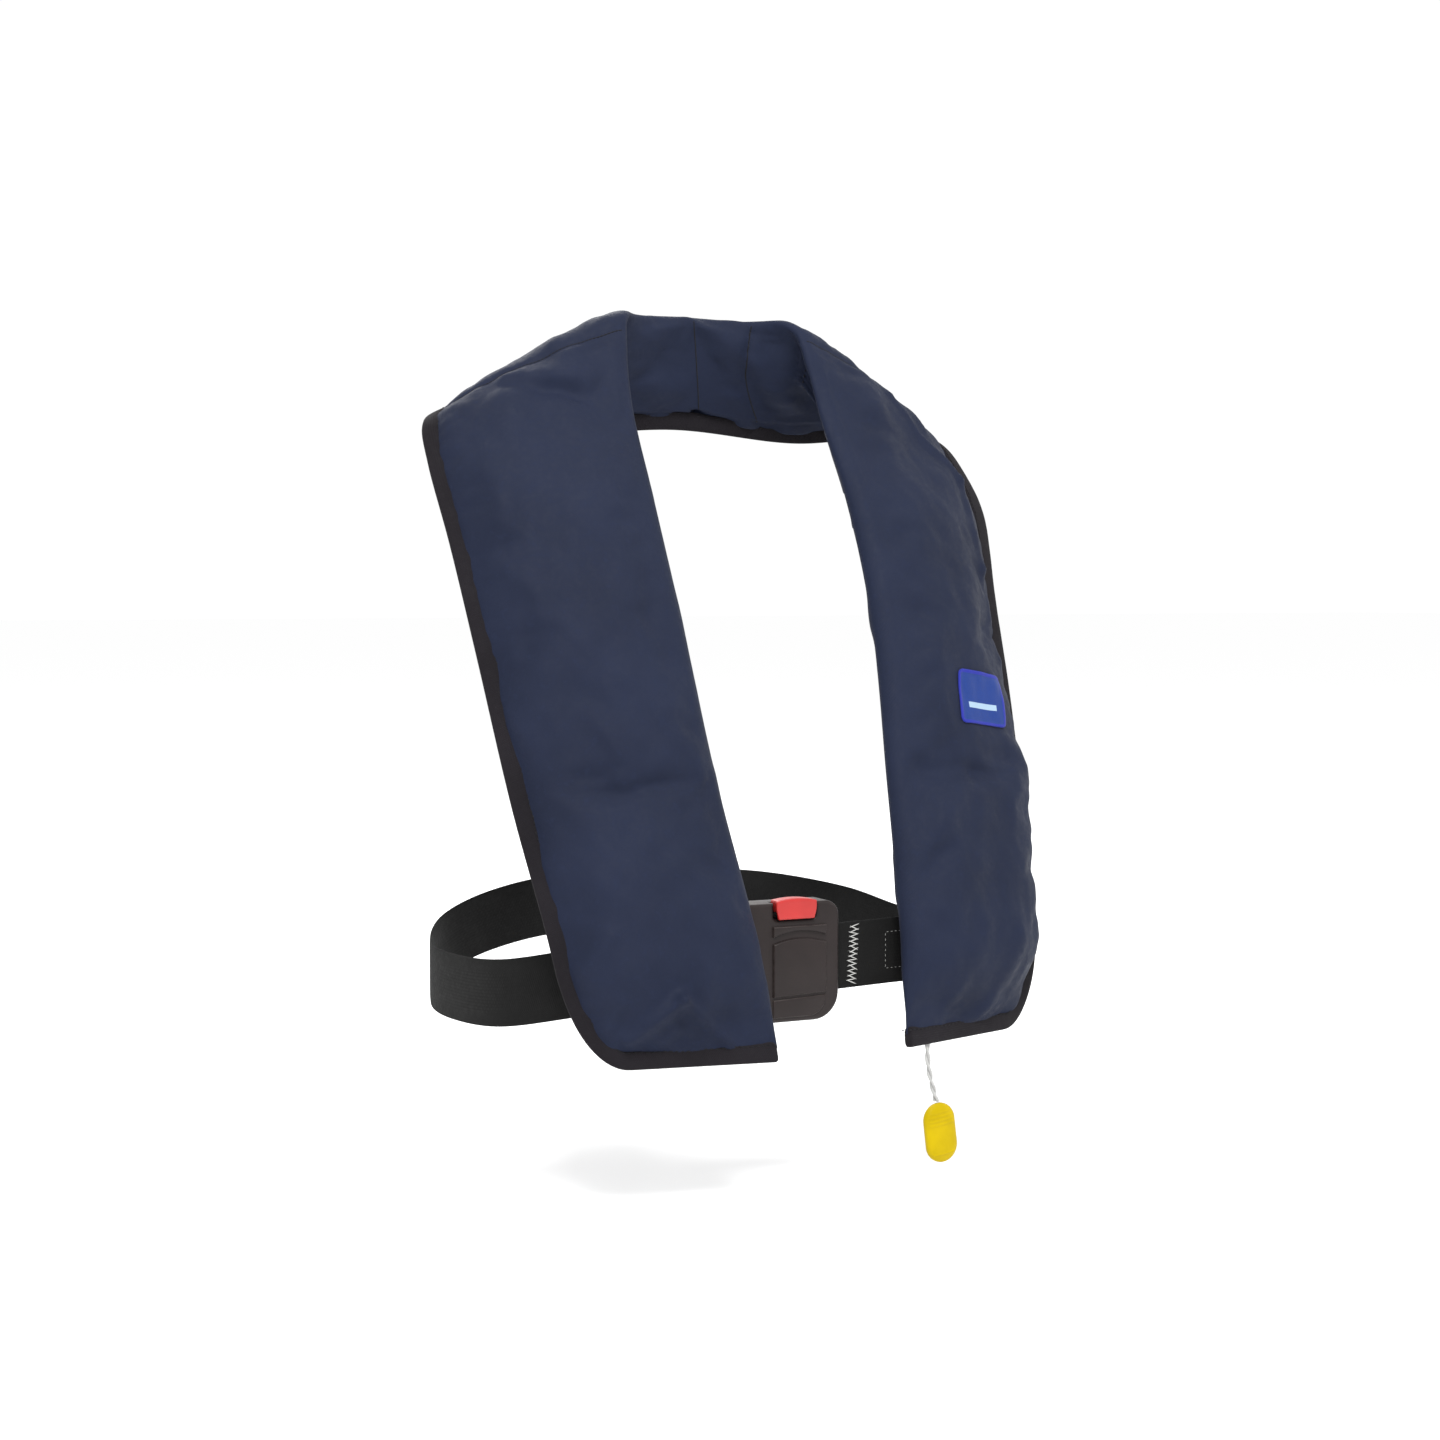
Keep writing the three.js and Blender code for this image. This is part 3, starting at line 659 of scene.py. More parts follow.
def cloth_places(mesh):
    """Each point's distance from the left hem, share of the width, and side, from the cloth's UV map."""
    places = {}
    uv = mesh.uv_layers.active.data
    for polygon in mesh.polygons:
        for loop in polygon.loop_indices:
            index = mesh.loops[loop].vertex_index
            along, across = COVER_LOW + uv[loop].uv[1], uv[loop].uv[0] / COVER_UV_WIDTH
            inner, chord, face, width = station(along)
            side = 1 if (mesh.vertices[index].co - inner).dot(face) > 0 else -1
            places[index] = (along, across if side > 0 else 1 - across, side)
    return places


def add_folds(mesh):
    """Lays soft folds, the puckers along the sewn edges and the seams' dips on the settled cloth."""
    for index, (along, across, side) in cloth_places(mesh).items():
        vert = mesh.vertices[index]
        inner, chord, face, width = station(along)
        up = from_hem(along)
        inside = smooth(across, 0.0, 0.12) * (1 - smooth(across, 0.94, 1.0)) * smooth(up, 6 * MM, 16 * MM)
        wave = math.sin(along / MM * 0.42 + 1.7 * math.sin(along / MM * 0.11))
        lift = 0.25 * MM * wave * smooth(across, 0.8, 0.95)
        reach = across * width
        slant = Vector((24 * along + 16 * reach, 34 * reach - 7 * along, 3.0 * side))
        calm = 1 - 0.6 * smooth(across, 0.75, 0.95)
        lift += calm * MM * (2.8 * noise.noise(slant) + 1.0 * noise.noise(slant * 2.6))
        if side > 0 and up < SEAM:
            folds = LEFT_FOLDS if along < SEAM else RIGHT_FOLDS
            lift += fold_lift(folds, up / MM, across, width / MM)
        if side < 0 and up >= SEAM:
            lift += fold_lift(COLLAR_FOLDS, (along - BAND / 2) / MM, across, width / MM)
            lift -= 2.2 * MM * sum(bump(along - BAND / 2 - line(across), 2.4 * MM) for line in COLLAR_SEAMS)
        lift -= 1.5 * MM * seam_dip(along)
        vert.co += face * (side * lift * inside)


INNER_SOLIDS = (
    "left_bladder", "right_bladder", "collar_bladder", "firing_head", "gas_cylinder", "whistle",
    "oral_tube", "oral_valve_body", "oral_cap", "manifold_nut", "lever_pin", "safety_clip",
)


def keep_clear(mesh, gap=2.0 * MM, reach=40 * MM, aside=3 * MM):
    """Moves cloth that lies on or under an inner solid, or just beside one, out until it clears it."""
    tree = surface_of(frame["nodes"][node].data for node in INNER_SOLIDS)
    for index, (along, _, side) in cloth_places(mesh).items():
        _, chord, face, _ = station(along)
        out = face * side
        vert = mesh.vertices[index]
        spot = vert.co.copy()
        run = chord.cross(out)
        for shift in (Vector(), chord * aside, chord * -aside, run * aside, run * -aside):
            hit = tree.ray_cast(spot + shift + out * reach, -out, reach + 6 * MM)[0]
            if hit is not None:
                need = (hit - spot).dot(out) + gap
                vert.co += out * max(0.0, need - (vert.co - spot).dot(out))


def under_belt(mesh, level=56 * MM, near=38 * MM, far=64 * MM, gap=0.6 * MM, reach=40 * MM):
    """Keeps the lining no fuller than its plain solid where the belt and the tongue pass behind it."""
    tree = surface_of(frame["nodes"][node].data for node in ("left_back_cover", "right_back_cover"))
    for index, (along, _, side) in cloth_places(mesh).items():
        share = 1 - smooth(abs(from_hem(along) - level), near, far)
        if side < 0 and share > 0:
            out = -station(along)[2]
            vert = mesh.vertices[index]
            hit = tree.ray_cast(vert.co + out * reach, -out, reach + 20 * MM)[0]
            if hit is not None:
                vert.co += out * share * min(0.0, (hit - vert.co).dot(out) - gap)


# Sewn seams of the collar lining: distance along from the centre back at a share of the width
COLLAR_SEAMS = (
    lambda across: mix(-4, -8, across) * MM,
    lambda across: (-28 - 5 * across**2 - 19 * (1 - across) ** 3.5) * MM,
)


def seam_dip(along, width=2.2 * MM):
    return max(bump(along - SEAM, width), bump(along - (BAND - SEAM), width))


SETTLING_STEPS = 20


def swell_cover(thing, pressure, cap):
    """Inflates the padded cover a little, with its sewn edges held, and keeps each point near its start."""
    start = [v.co.copy() for v in thing.data.vertices]
    cloth = thing.modifiers.new("padding", "CLOTH")
    settings = cloth.settings
    settings.quality = 6
    settings.mass = 0.25
    settings.tension_stiffness = settings.compression_stiffness = 18
    settings.shear_stiffness = 8
    settings.bending_stiffness = 1.2
    settings.shrink_min = -0.022
    settings.use_pressure = True
    settings.uniform_pressure_force = pressure
    settings.vertex_group_mass = "held"
    settings.effector_weights.gravity = 0
    cloth.point_cache.frame_start = 1
    cloth.point_cache.frame_end = SETTLING_STEPS
    scene = bpy.context.scene
    for step in range(1, SETTLING_STEPS + 1):
        scene.frame_set(step)
    settled = thing.evaluated_get(bpy.context.evaluated_depsgraph_get())
    places = [v.co.copy() for v in settled.to_mesh().vertices]
    settled.to_mesh_clear()
    thing.modifiers.remove(cloth)
    scene.frame_set(1)
    outward = [v.normal.copy() for v in thing.data.vertices]
    for vert, old, new, out in zip(thing.data.vertices, start, places, outward):
        rise = (new - old).dot(out)
        slide = new - old - out * rise
        if slide.length > cap / 2:
            slide = slide.normalized() * cap / 2
        vert.co = old + slide + out * min(max(rise, -MM), cap)


def yoke_mesh():
    """One closed cover from hem to hem: outer face and lining share the neck fold, the rim and the hems."""
    columns, steps = 30, 250

    def outer(u, v):
        return cover_point(mix(COVER_LOW, COVER_HIGH, v), u, 1)

    def lining(u, v):
        return cover_point(mix(COVER_LOW, COVER_HIGH, v), 1 - u, -1)

    bm = draped(columns, steps, outer, (COVER_UV_WIDTH, COVER_RUN))
    draped(columns, steps, lining, (COVER_UV_WIDTH, COVER_RUN), bm=bm)
    bmesh.ops.remove_doubles(bm, verts=bm.verts, dist=0.3 * MM)
    return bm


def panel_of(face, layer):
    """Which of the yoke's three panels a face of its cloth is in, told by the two shoulder seams."""
    along = COVER_LOW + sum(loop[layer].uv.y for loop in face.loops) / len(face.loops)
    return "left" if along < SEAM else "right" if along > BAND - SEAM else "collar"


COVERS = {}


def held_points(mesh):
    """Indices of the points on the sewn edges and the shoulder seams."""
    held = set()
    uv = mesh.uv_layers.active.data
    for polygon in mesh.polygons:
        for loop in polygon.loop_indices:
            u, v = uv[loop].uv
            on_edge = min(u, COVER_UV_WIDTH - u) < 1 * MM or min(v, COVER_RUN - v) < 4 * MM
            along = COVER_LOW + v
            on_seam = min(abs(along - SEAM), abs(along - (BAND - SEAM))) < 3 * MM
            if on_edge or on_seam:
                held.add(mesh.loops[loop].vertex_index)
    return sorted(held)


def build_covers(look):
    blank_mesh = bpy.data.meshes.new("yoke_blank")
    bm = yoke_mesh()
    bmesh.ops.recalc_face_normals(bm, faces=bm.faces)
    bm.to_mesh(blank_mesh)
    bm.free()
    blank = bpy.data.objects.new("yoke_blank", blank_mesh)
    bpy.context.scene.collection.objects.link(blank)
    blank.vertex_groups.new(name="held").add(held_points(blank_mesh), 1.0, "REPLACE")
    swell_cover(blank, look.pressure, look.swell)
    finer = blank.modifiers.new("finer", "SUBSURF")
    finer.levels = finer.render_levels = 1
    blank_mesh = bpy.data.meshes.new_from_object(blank.evaluated_get(bpy.context.evaluated_depsgraph_get()))
    add_folds(blank_mesh)
    keep_clear(blank_mesh)
    under_belt(blank_mesh)
    panels = {
        "left": ("left_lobe_cover", "left_front_cover", "left_back_cover"),
        "right": ("right_lobe_cover", "right_front_cover", "right_back_cover"),
        "collar": ("collar_cover", "collar_outer_cover", "collar_lining"),
    }
    for panel, (name, *replaced) in panels.items():
        part = bmesh.new()
        part.from_mesh(blank_mesh)
        layer = part.loops.layers.uv.active
        spare = [f for f in part.faces if panel_of(f, layer) != panel]
        bmesh.ops.delete(part, geom=spare, context="FACES")
        cover = piece(name, part, "navy_nylon")
        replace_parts(cover, *replaced)
        COVERS[panel] = cover
    bpy.data.objects.remove(blank)


def build_seams():
    """Dark thread along the collar lining's two seams and the shoulder seams, laid on the settled cloth."""
    spots = []
    stitches = 46
    tree = surface_of(cover.data for cover in COVERS.values())
    lines = [(lambda across, seam=seam: BAND / 2 + seam(across), -1, 0.04) for seam in COLLAR_SEAMS]
    for along in (SEAM, BAND - SEAM):
        lines += [(lambda across, along=along: along, side, 0.03) for side in (1, -1)]

    def on_cloth(line, side, across):
        along = line(across)
        out = station(along)[2] * side
        above = band(along, across * cover_reach(along, TAPE_WIDTH - COVER_TUCK), 0) + out * 40 * MM
        return tree.ray_cast(above, -out)[0], out

    for line, side, start in lines:
        points = [on_cloth(line, side, mix(start, 0.9, i / stitches)) for i in range(stitches + 1)]
        for (here, out), (ahead, _) in zip(points, points[1:]):
            if here is not None and ahead is not None:
                spots.append(((here + ahead) / 2 - out * 0.1 * MM, (ahead - here).normalized(), out))
    thread_row("shoulder_and_collar_seams", spots, "dark_thread", (1.5, 0.55, 0.4))


# ---------------------------------------------------------------- edge tape
STITCH_PITCH = 3.6 * MM
HEM_RUN = station(0)[3] - CORNER_WIDTH
CORNER_RUN = 86 * MM
RIM_RUN = BAND / 2 - CORNER_HEIGHT
HALF_EDGE = HEM_RUN + CORNER_RUN + RIM_RUN


def edge_point(run, inset, lift):
    """On the yoke's bound edge: run from the left hem's neck end, inset from the edge, lift off its plane."""
    on_right = run > HALF_EDGE
    run = 2 * HALF_EDGE - run if on_right else run
    side_gap = 0.0
    if run < HEM_RUN:
        along = inset
    elif run < HEM_RUN + CORNER_RUN:
        turn = math.pi / 2 * (1 - (run - HEM_RUN) / CORNER_RUN)
        along = CORNER_HEIGHT - (CORNER_HEIGHT - inset) * math.sin(turn)
        side_gap = CORNER_WIDTH - (CORNER_WIDTH - inset) * math.cos(turn)
    else:
        along = CORNER_HEIGHT + run - HEM_RUN - CORNER_RUN
        side_gap = inset
    place = BAND - along if on_right else along
    width = station(place)[3]
    reach = run if run < HEM_RUN else width - side_gap
    return band(place, reach / width, lift)


def tape_half_thick(run):
    run = min(run, 2 * HALF_EDGE - run)
    return mix(HEM_TAPE_THICK, TAPE_THICK, smooth(run, HEM_RUN * 0.8, HEM_RUN + CORNER_RUN * 0.5)) / 2


def tape_wobble(run):
    """The small waviness that stitching leaves in the tape's inner edge."""
    return 0.35 * MM * math.sin(run / MM * 0.31) + 0.9 * MM * noise.noise(Vector((run * 30, 0.3, 0.7)))


def build_tape():
    total = 2 * HALF_EDGE

    def place(u, v):
        run = mix(1.6 * MM, total - 1.6 * MM, v)
        inset, lift = squircle(u, TAPE_WIDTH / 2, tape_half_thick(run), 3.4)
        inner_share = inset / TAPE_WIDTH + 0.5
        inset = TAPE_WIDTH / 2 + inset + tape_wobble(run) * inner_share
        lift *= 1 + 0.1 * noise.noise(Vector((run * 45, u * 3, 2.0)))
        return edge_point(run, inset, lift)

    bm = draped(22, 430, place, (0.026, total), closed=True, capped=True)
    tape = piece("edge_binding_tape", bm, "black_binding", levels=1)
    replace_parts(tape, "left_rim_binding", "right_rim_binding", "left_hem_binding", "right_hem_binding",
                "collar_binding")
    spots = []
    for side in (1, -1):
        for i in range(int(total / STITCH_PITCH)):
            run = (i + 0.5) * STITCH_PITCH
            inset = TAPE_WIDTH - 2.0 * MM + tape_wobble(run)
            height = side * tape_half_thick(run) * 0.97
            here = edge_point(run, inset, height)
            ahead = edge_point(run + 0.5 * MM, inset, height)
            out = edge_point(run, inset, height + side * MM) - here
            spots.append((here, (ahead - here).normalized(), out.normalized()))
    thread_row("edge_tape_stitches", spots, "dark_thread")


# ---------------------------------------------------------------- patch
PATCH_ALONG = (206.5 * MM, 243.5 * MM)
PATCH_ACROSS = (0.415, 0.805)


def build_patch():
    cover = COVERS["left"]
    tree = BVHTree.FromObject(cover, bpy.context.evaluated_depsgraph_get())

    def place(u, v):
        a, b = 2 * u - 1, 2 * v - 1
        corner = 0.8
        over_a, over_b = abs(a) - corner, abs(b) - corner
        if over_a > 0 and over_b > 0:
            far = math.hypot(over_a, over_b)
            pull = max(over_a, over_b) / far
            a = math.copysign(corner + over_a * pull, a)
            b = math.copysign(corner + over_b * pull, b)
        along = mix(*PATCH_ALONG, (b + 1) / 2)
        across = mix(*PATCH_ACROSS, (a + 1) / 2)
        face = station(along)[2]
        above = band(along, across * cover_reach(along, TAPE_WIDTH), 60 * MM)
        hit, normal, _, _ = tree.ray_cast(above, -face)
        if hit is None:
            raise RuntimeError("the patch has no cover under it")
        border = smooth(max(abs(2 * u - 1), abs(2 * v - 1)), 0.86, 0.93)
        return hit + normal * (0.5 + 0.55 * border) * MM

    bm = draped(36, 32, place)
    patch = piece("front_patch_cloth", bm, "blue_patch")
    wall = patch.modifiers.new("thickness", "SOLIDIFY")
    wall.thickness = 0.9 * MM
    wall.offset = -1 if patch_faces_out(patch) else 1
    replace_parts(patch, "front_patch")


def patch_faces_out(patch):
    face = station(PATCH_ALONG[0])[2]
    return sum(p.normal.dot(face) for p in patch.data.polygons) > 0


# ---------------------------------------------------------------- webbing
RIB_PITCH = 2.1 * MM
WEB_GIRTH = 0.088


def web_section(u, distance):
    """Up and inward offsets of a ribbed webbing whose edges are lightly scalloped."""
    half_width, half_thick = WEB_WIDTH / 2, WEB_THICK / 2
    rib = math.sin(2 * math.pi * distance / RIB_PITCH)
    up, inward = squircle(u, half_width - 0.1 * MM, half_thick - 0.12 * MM, 5.0)
    up += math.copysign(0.28 * MM * rib, up) * smooth(abs(up), half_width * 0.9, half_width * 0.99)
    inward += math.copysign(0.13 * MM * rib, inward) * smooth(abs(inward), 0, half_thick * 0.5)
    return up, inward


def ribbon(name, route, node, drift=0.0):
    """Webbing stood on its edge along a route, drift inwards of it."""
    steps = int(route.length / (RIB_PITCH / 4))

    def place(u, v):
        distance = route.length * v
        heading = route.heading(distance)
        inward = Vector((0, 0, 1)).cross(heading).normalized()
        up, deep = web_section(u, distance)
        return route.along(distance) + Vector((0, 0, up)) + inward * (drift + deep)

    bm = draped(20, steps, place, (WEB_GIRTH, route.length), closed=True, capped=True)
    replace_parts(piece(name, bm, "black_webbing"), node)


BELT = Route(BELT_ROUTE, 900)


def on_belt(distance, up, clear=1.25 * MM):
    """A point on the belt's outer face, with the belt's heading and its outward direction there."""
    heading = BELT.heading(distance)
    out = heading.cross(Vector((0, 0, 1))).normalized()
    return BELT.along(distance) + Vector((0, 0, up)) + out * clear, heading, out


def sewn_line(start, end, pitch, zigzag=0.0):
    """Stitch places from one (distance, up) on the belt to another; zigzag swings them to both sides."""
    spots = []
    run = math.hypot(end[0] - start[0], end[1] - start[1])
    count = max(2, int(run / pitch))
    for i in range(count):
        t = (i + 0.5) / count
        here, heading, out = on_belt(mix(start[0], end[0], t), mix(start[1], end[1], t))
        line = (heading * (end[0] - start[0]) + Vector((0, 0, end[1] - start[1]))).normalized()
        if zigzag:
            side = line.cross(out)
            swing = 1 if i % 2 else -1
            wander = noise.noise(Vector((i * 0.9, 0.2, 0.4)))
            here = here + side * wander * 1.2 * MM
            line = (line * (0.45 + 0.5 * wander) + side * swing * zigzag).normalized()
        spots.append((here, line, out))
    return spots


def build_belt():
    ribbon("waist_belt_webbing", BELT, "waist_webbing")
    fold = Route([(9.2, -145.7, -411), (20, -146.4, -410.7), (33, -147, -410.4)], 60)
    ribbon("housing_fold", fold, "housing_loop", WEB_THICK + 0.3 * MM)
    tack = sewn_line((17.5 * MM, -18 * MM), (19.5 * MM, 19 * MM), 1.5 * MM, 1.3)
    thread_row("housing_bar_tack", tack, "white_thread", (3.8, 0.3, 0.3))
    box = []
    corners = [(43 * MM, -11 * MM), (43 * MM, 12 * MM), (66 * MM, 12 * MM), (66 * MM, -11 * MM)]
    for a, b in zip(corners, corners[1:] + corners[:1]):
        box += sewn_line(a, b, 3 * MM)
    thread_row("belt_box_stitch", box, "white_thread", (0.8, 0.12, 0.12))
    for side in ("left", "right"):
        build_belt_loop(side)
    build_tongue_webbing()


def build_belt_loop(side):
    """The webbing loop behind one lobe that the belt runs through."""
    low, high = 14 * MM, 98 * MM
    start, end = (low, high) if side == "left" else (BAND - high, BAND - low)
    middle, half = 0.56, 0.14

    def place(u, v):
        along = mix(start, end, v)
        width = station(along)[3]
        rib = math.sin(2 * math.pi * (along - start) / RIB_PITCH)
        side_way, deep = squircle(u, half * width, 0.8 * MM, 5.0)
        at_edge = smooth(abs(side_way), half * width * 0.9, half * width)
        side_way += math.copysign(0.2 * MM * rib, side_way) * at_edge
        across = middle + side_way / width
        skin = loft(along, BACK_LOFT) * (4 * middle * (1 - middle)) ** 0.45 + 0.4 * MM
        stand = LOOP_STAND * min(1.0, 1.9 * math.sin(math.pi * v))
        return band(along, across, -(skin + stand + 0.8 * MM + deep + 0.08 * MM * rib))

    bm = draped(20, 160, place, (0.08, end - start), closed=True, capped=True)
    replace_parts(piece(f"{side}_belt_loop_webbing", bm, "black_webbing"), f"{side}_belt_loop")


def build_tongue_webbing():
    def place(u, v):
        distance = mix(57, 80, v) * MM
        up, deep = web_section(u, distance)
        return CLASP @ Vector((-distance, 2.5 * MM + deep, up))

    bm = draped(20, 44, place, (WEB_GIRTH, 0.023), closed=True, capped=True)
    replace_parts(piece("tongue_strap", bm, "black_webbing", "tongue_body"), "tongue_webbing")


# ---------------------------------------------------------------- buckle
HOUSING_HALF = (35, 37)
BUTTON_HALF = 14
BUTTON_CENTRE = 4
BUTTON_LOW, BUTTON_HIGH = 26.9, 38.3
BUTTON_TRAVEL = 4


def housing_outline(notch):
    """Rounded oblong, softer at the foot, with the button's notch in its top when asked."""
    x, z = HOUSING_HALF
    top, foot = 9, 17
    outline = arc(x - top, z - top, top, 0, 90)
    if notch:
        left, right = BUTTON_CENTRE - BUTTON_HALF - 0.5, BUTTON_CENTRE + BUTTON_HALF + 0.5
        floor = BUTTON_LOW - 0.3
        outline += [(right, z), (right, floor + 1.5), (right - 1.5, floor)]
        outline += [(left + 1.5, floor), (left, floor + 1.5), (left, z)]
    outline += arc(-x + top, z - top, top, 90, 180)
    outline += arc(-x + foot, -z + foot, foot, 180, 270)
    outline += arc(x - foot, -z + foot, foot, 270, 360)
    return outline


def clasped(name, bm, finish, ride, node):
    """A crisp-edged moulding of the buckle, carried from the clasp's own axes to its place."""
    bmesh.ops.transform(bm, matrix=CLASP, verts=bm.verts)
    made = piece(name, bm, finish, ride)
    made.data.set_sharp_from_angle(angle=math.radians(34))
    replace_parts(made, node)


def housing_front():
    """The front shell, with the brow over the button's notch, the raised face and the foot on it."""
    front = plate(housing_outline(True), -10.2, -0.15, 3.6, 5)
    left, right, middle = -11.5, 25.2, 6.85
    brow_top = BUTTON_LOW - BUTTON_TRAVEL - 0.3
    brow = arc(middle, -32.5, 52, 110.7, 69.3, 12) + [(right, brow_top), (left, brow_top)]
    merge(front, plate(brow[::-1], -12, -9.6, 0.9, 3))
    face = arc(middle, -38, 53, 110.3, 69.7, 12) + [(right, -19.5), (left, -21)]
    merge(front, plate(face[::-1], -12, -9.6, 1.2, 4))
    foot = [(left, -22.6), (right, -21.1)] + arc(right - 12, -22, 12, -5, -80, 6) + [(left, -34)]
    merge(front, plate(foot[::-1], -11.3, -9.6, 1.0, 3))
    clasped("buckle_housing_front", front, "buckle_plastic", "jacket", "buckle_front_shell")


def housing_back():
    back = plate(housing_outline(False), 12, 0.15, 2.2, 4)
    bmesh.ops.recalc_face_normals(back, faces=back.faces)
    clasped("buckle_housing_back", back, "buckle_plastic", "jacket", "buckle_back_shell")


def button_cap():
    """The cap slides down the face of the shell, and its stem sinks in the notch behind it."""
    high, low = BUTTON_HIGH, BUTTON_LOW
    stem_low = low + BUTTON_TRAVEL + 0.2
    cap_size, cap_centre = (2 * BUTTON_HALF, 2.2, high - low), (BUTTON_CENTRE, -11.5, (high + low) / 2)
    stem_size = (2 * BUTTON_HALF - 2, 9.5, high - stem_low)
    button = block(cap_size, cap_centre, 0.9, 4)
    merge(button, block(stem_size, (BUTTON_CENTRE, -6.05, (high + stem_low) / 2), 1, 3))
    bmesh.ops.subdivide_edges(button, edges=[e for e in button.edges if e.calc_length() > 6 * MM], cuts=6,
                              use_grid_fill=True)
    for vert in button.verts:
        if vert.co.z > 36 * MM:
            vert.co.z += 1.4 * MM * (1 - ((vert.co.x / MM - BUTTON_CENTRE) / BUTTON_HALF) ** 2)
        taper = 0.1 * (1 - smooth(vert.co.z, low * MM, (low + 7) * MM))
        vert.co.x -= taper * (vert.co.x - BUTTON_CENTRE * MM)
    clasped("button_cap", button, "red_plastic", "release_button_body", "release_button")


def tongue_grip():
    grip = block((11, 7.8, 34), (-41.6, 0, 0), 1.6, 3)
    for i in range(5):
        merge(grip, block((1.1, 9, 26), (-45.2 + 1.8 * i, 0, 0), 0.45, 2))
    clasped("tongue_grip_moulding", grip, "buckle_plastic", "tongue_body", "tongue_grip")


# ---------------------------------------------------------------- pull cord and handle
HANDLE_RIDGES = (13.5, 11, 8.5, 6, -13)


def cord_leg(name, shift, node):
    """One leg of the doubled cord; the two legs lie round each other in a loose twist."""
    route = Route(CORD_ROUTE, 300)
    curve = bpy.data.curves.new(name, "CURVE")
    curve.dimensions = "3D"
    curve.bevel_depth = CORD_RADIUS
    curve.bevel_resolution = 3
    curve.use_fill_caps = True
    spline = curve.splines.new("POLY")
    spline.points.add(109)
    for i, point in enumerate(spline.points):
        distance = route.length * i / (len(spline.points) - 1)
        turn = 2 * math.pi * distance / CORD_TWIST
        aside = Vector((math.cos(turn), math.sin(turn), 0)) * shift
        point.co = (*(route.along(distance) + aside), 1)
    leg = bpy.data.objects.new(name, curve)
    bpy.context.scene.collection.objects.link(leg)
    curve.materials.append(MATERIALS["white_cord"])
    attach(leg, "pull_handle_body")
    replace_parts(leg, node)
    return leg, route


def build_pull():
    """The flat round-ended handle, and the doubled cord that it hangs from."""
    half_width, half_height, half_depth = 11.2 * MM, 19 * MM, 4 * MM

    def place(u, v):
        z = -math.cos(math.pi * v) * half_height
        over = max(0.0, abs(z) - (half_height - half_width))
        reach = math.sqrt(max(0.0, half_width**2 - over**2))
        depth = half_depth * (reach / half_width) ** 0.7
        x, y = squircle(u, reach, depth, 2.8)
        if abs(y) > depth * 0.7:
            y += math.copysign(0.3 * MM, y) * sum(bump(z - ridge * MM, 0.55 * MM) for ridge in HANDLE_RIDGES)
        return HANDLE @ Vector((x, y, z))

    bm = draped(56, 120, place, (0.05, 0.06), closed=True)
    bmesh.ops.dissolve_degenerate(bm, edges=bm.edges, dist=1e-6)
    bmesh.ops.recalc_face_normals(bm, faces=bm.faces)
    handle = piece("pull_handle_moulding", bm, "yellow_plastic", "pull_handle_body")
    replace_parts(handle, "pull_handle")
    for name, shift, node in (("pull_cord_outer_leg", CORD_RADIUS, "pull_cord_outer"),
                              ("pull_cord_inner_leg", -CORD_RADIUS, "pull_cord_inner")):
        leg, route = cord_leg(name, shift, node)
        tuple(route.points[0])


# ---------------------------------------------------------------- fittings that stay as CAD solids
def dress_fittings():
    """Gives every CAD solid that stays the finish of its slot."""
    slots = {s["node"]: s["material_slot"] for s in frame["record"]["subparts"]}
    for node, thing in frame["nodes"].items():
        finish = MATERIALS[slots[node]]
        for slot in thing.material_slots:
            slot.material = finish
        if not thing.material_slots:
            thing.data.materials.append(finish)


# ---------------------------------------------------------------- stage
def build_stage(look):
    floor = bmesh.new()
    bmesh.ops.create_grid(floor, x_segments=2, y_segments=2, size=30)
    bmesh.ops.translate(floor, verts=floor.verts, vec=(0, 0, look.floor_height))
    mesh = bpy.data.meshes.new("floor")
    floor.to_mesh(mesh)
    floor.free()
    ground = bpy.data.objects.new("floor", mesh)
    bpy.context.scene.collection.objects.link(ground)
    mesh.materials.append(shader("pale_floor", (0.97, 0.97, 0.97), 0.9, Specular_IOR_Level=0.0)[0])
    world = bpy.data.worlds.new("studio")
    world.use_nodes = True
    sky = world.node_tree.nodes["Background"]
    sky.inputs["Color"].default_value = (1, 1, 1, 1)
    sky.inputs["Strength"].default_value = look.fill
    bpy.context.scene.world = world
    bpy.context.scene.view_settings.view_transform = "Standard"
    target = Vector((-18, -60, -266)) * MM
    lights = {
        "key": ((-0.7, -1.5, 1.8), 0.9, look.key),
        "side": ((1.9, -1.2, 0.7), 1.2, look.key * 0.12),
        "back": ((0.4, 1.9, 1.4), 1.4, look.key * 0.4),
    }
    for name, (place, size, power) in lights.items():
        lamp = bpy.data.lights.new(name, "AREA")
        lamp.size = size
        lamp.energy = power
        thing = bpy.data.objects.new(name, lamp)
        thing.location = Vector(place)
        thing.rotation_euler = (target - thing.location).to_track_quat("-Z", "Y").to_euler()
        bpy.context.scene.collection.objects.link(thing)
    turn, rise, distance = math.radians(-30), math.radians(3), 1.6
    offset = Vector((math.sin(turn) * math.cos(rise), -math.cos(turn) * math.cos(rise), math.sin(rise)))
    lens = bpy.data.cameras.new("camera")
    lens.lens = 62
    lens.sensor_width = 36
    camera = bpy.data.objects.new("camera", lens)
    camera.location = target + offset * distance
    camera.rotation_euler = (-offset).to_track_quat("-Z", "Y").to_euler()
    bpy.context.scene.collection.objects.link(camera)
    bpy.context.scene.camera = camera


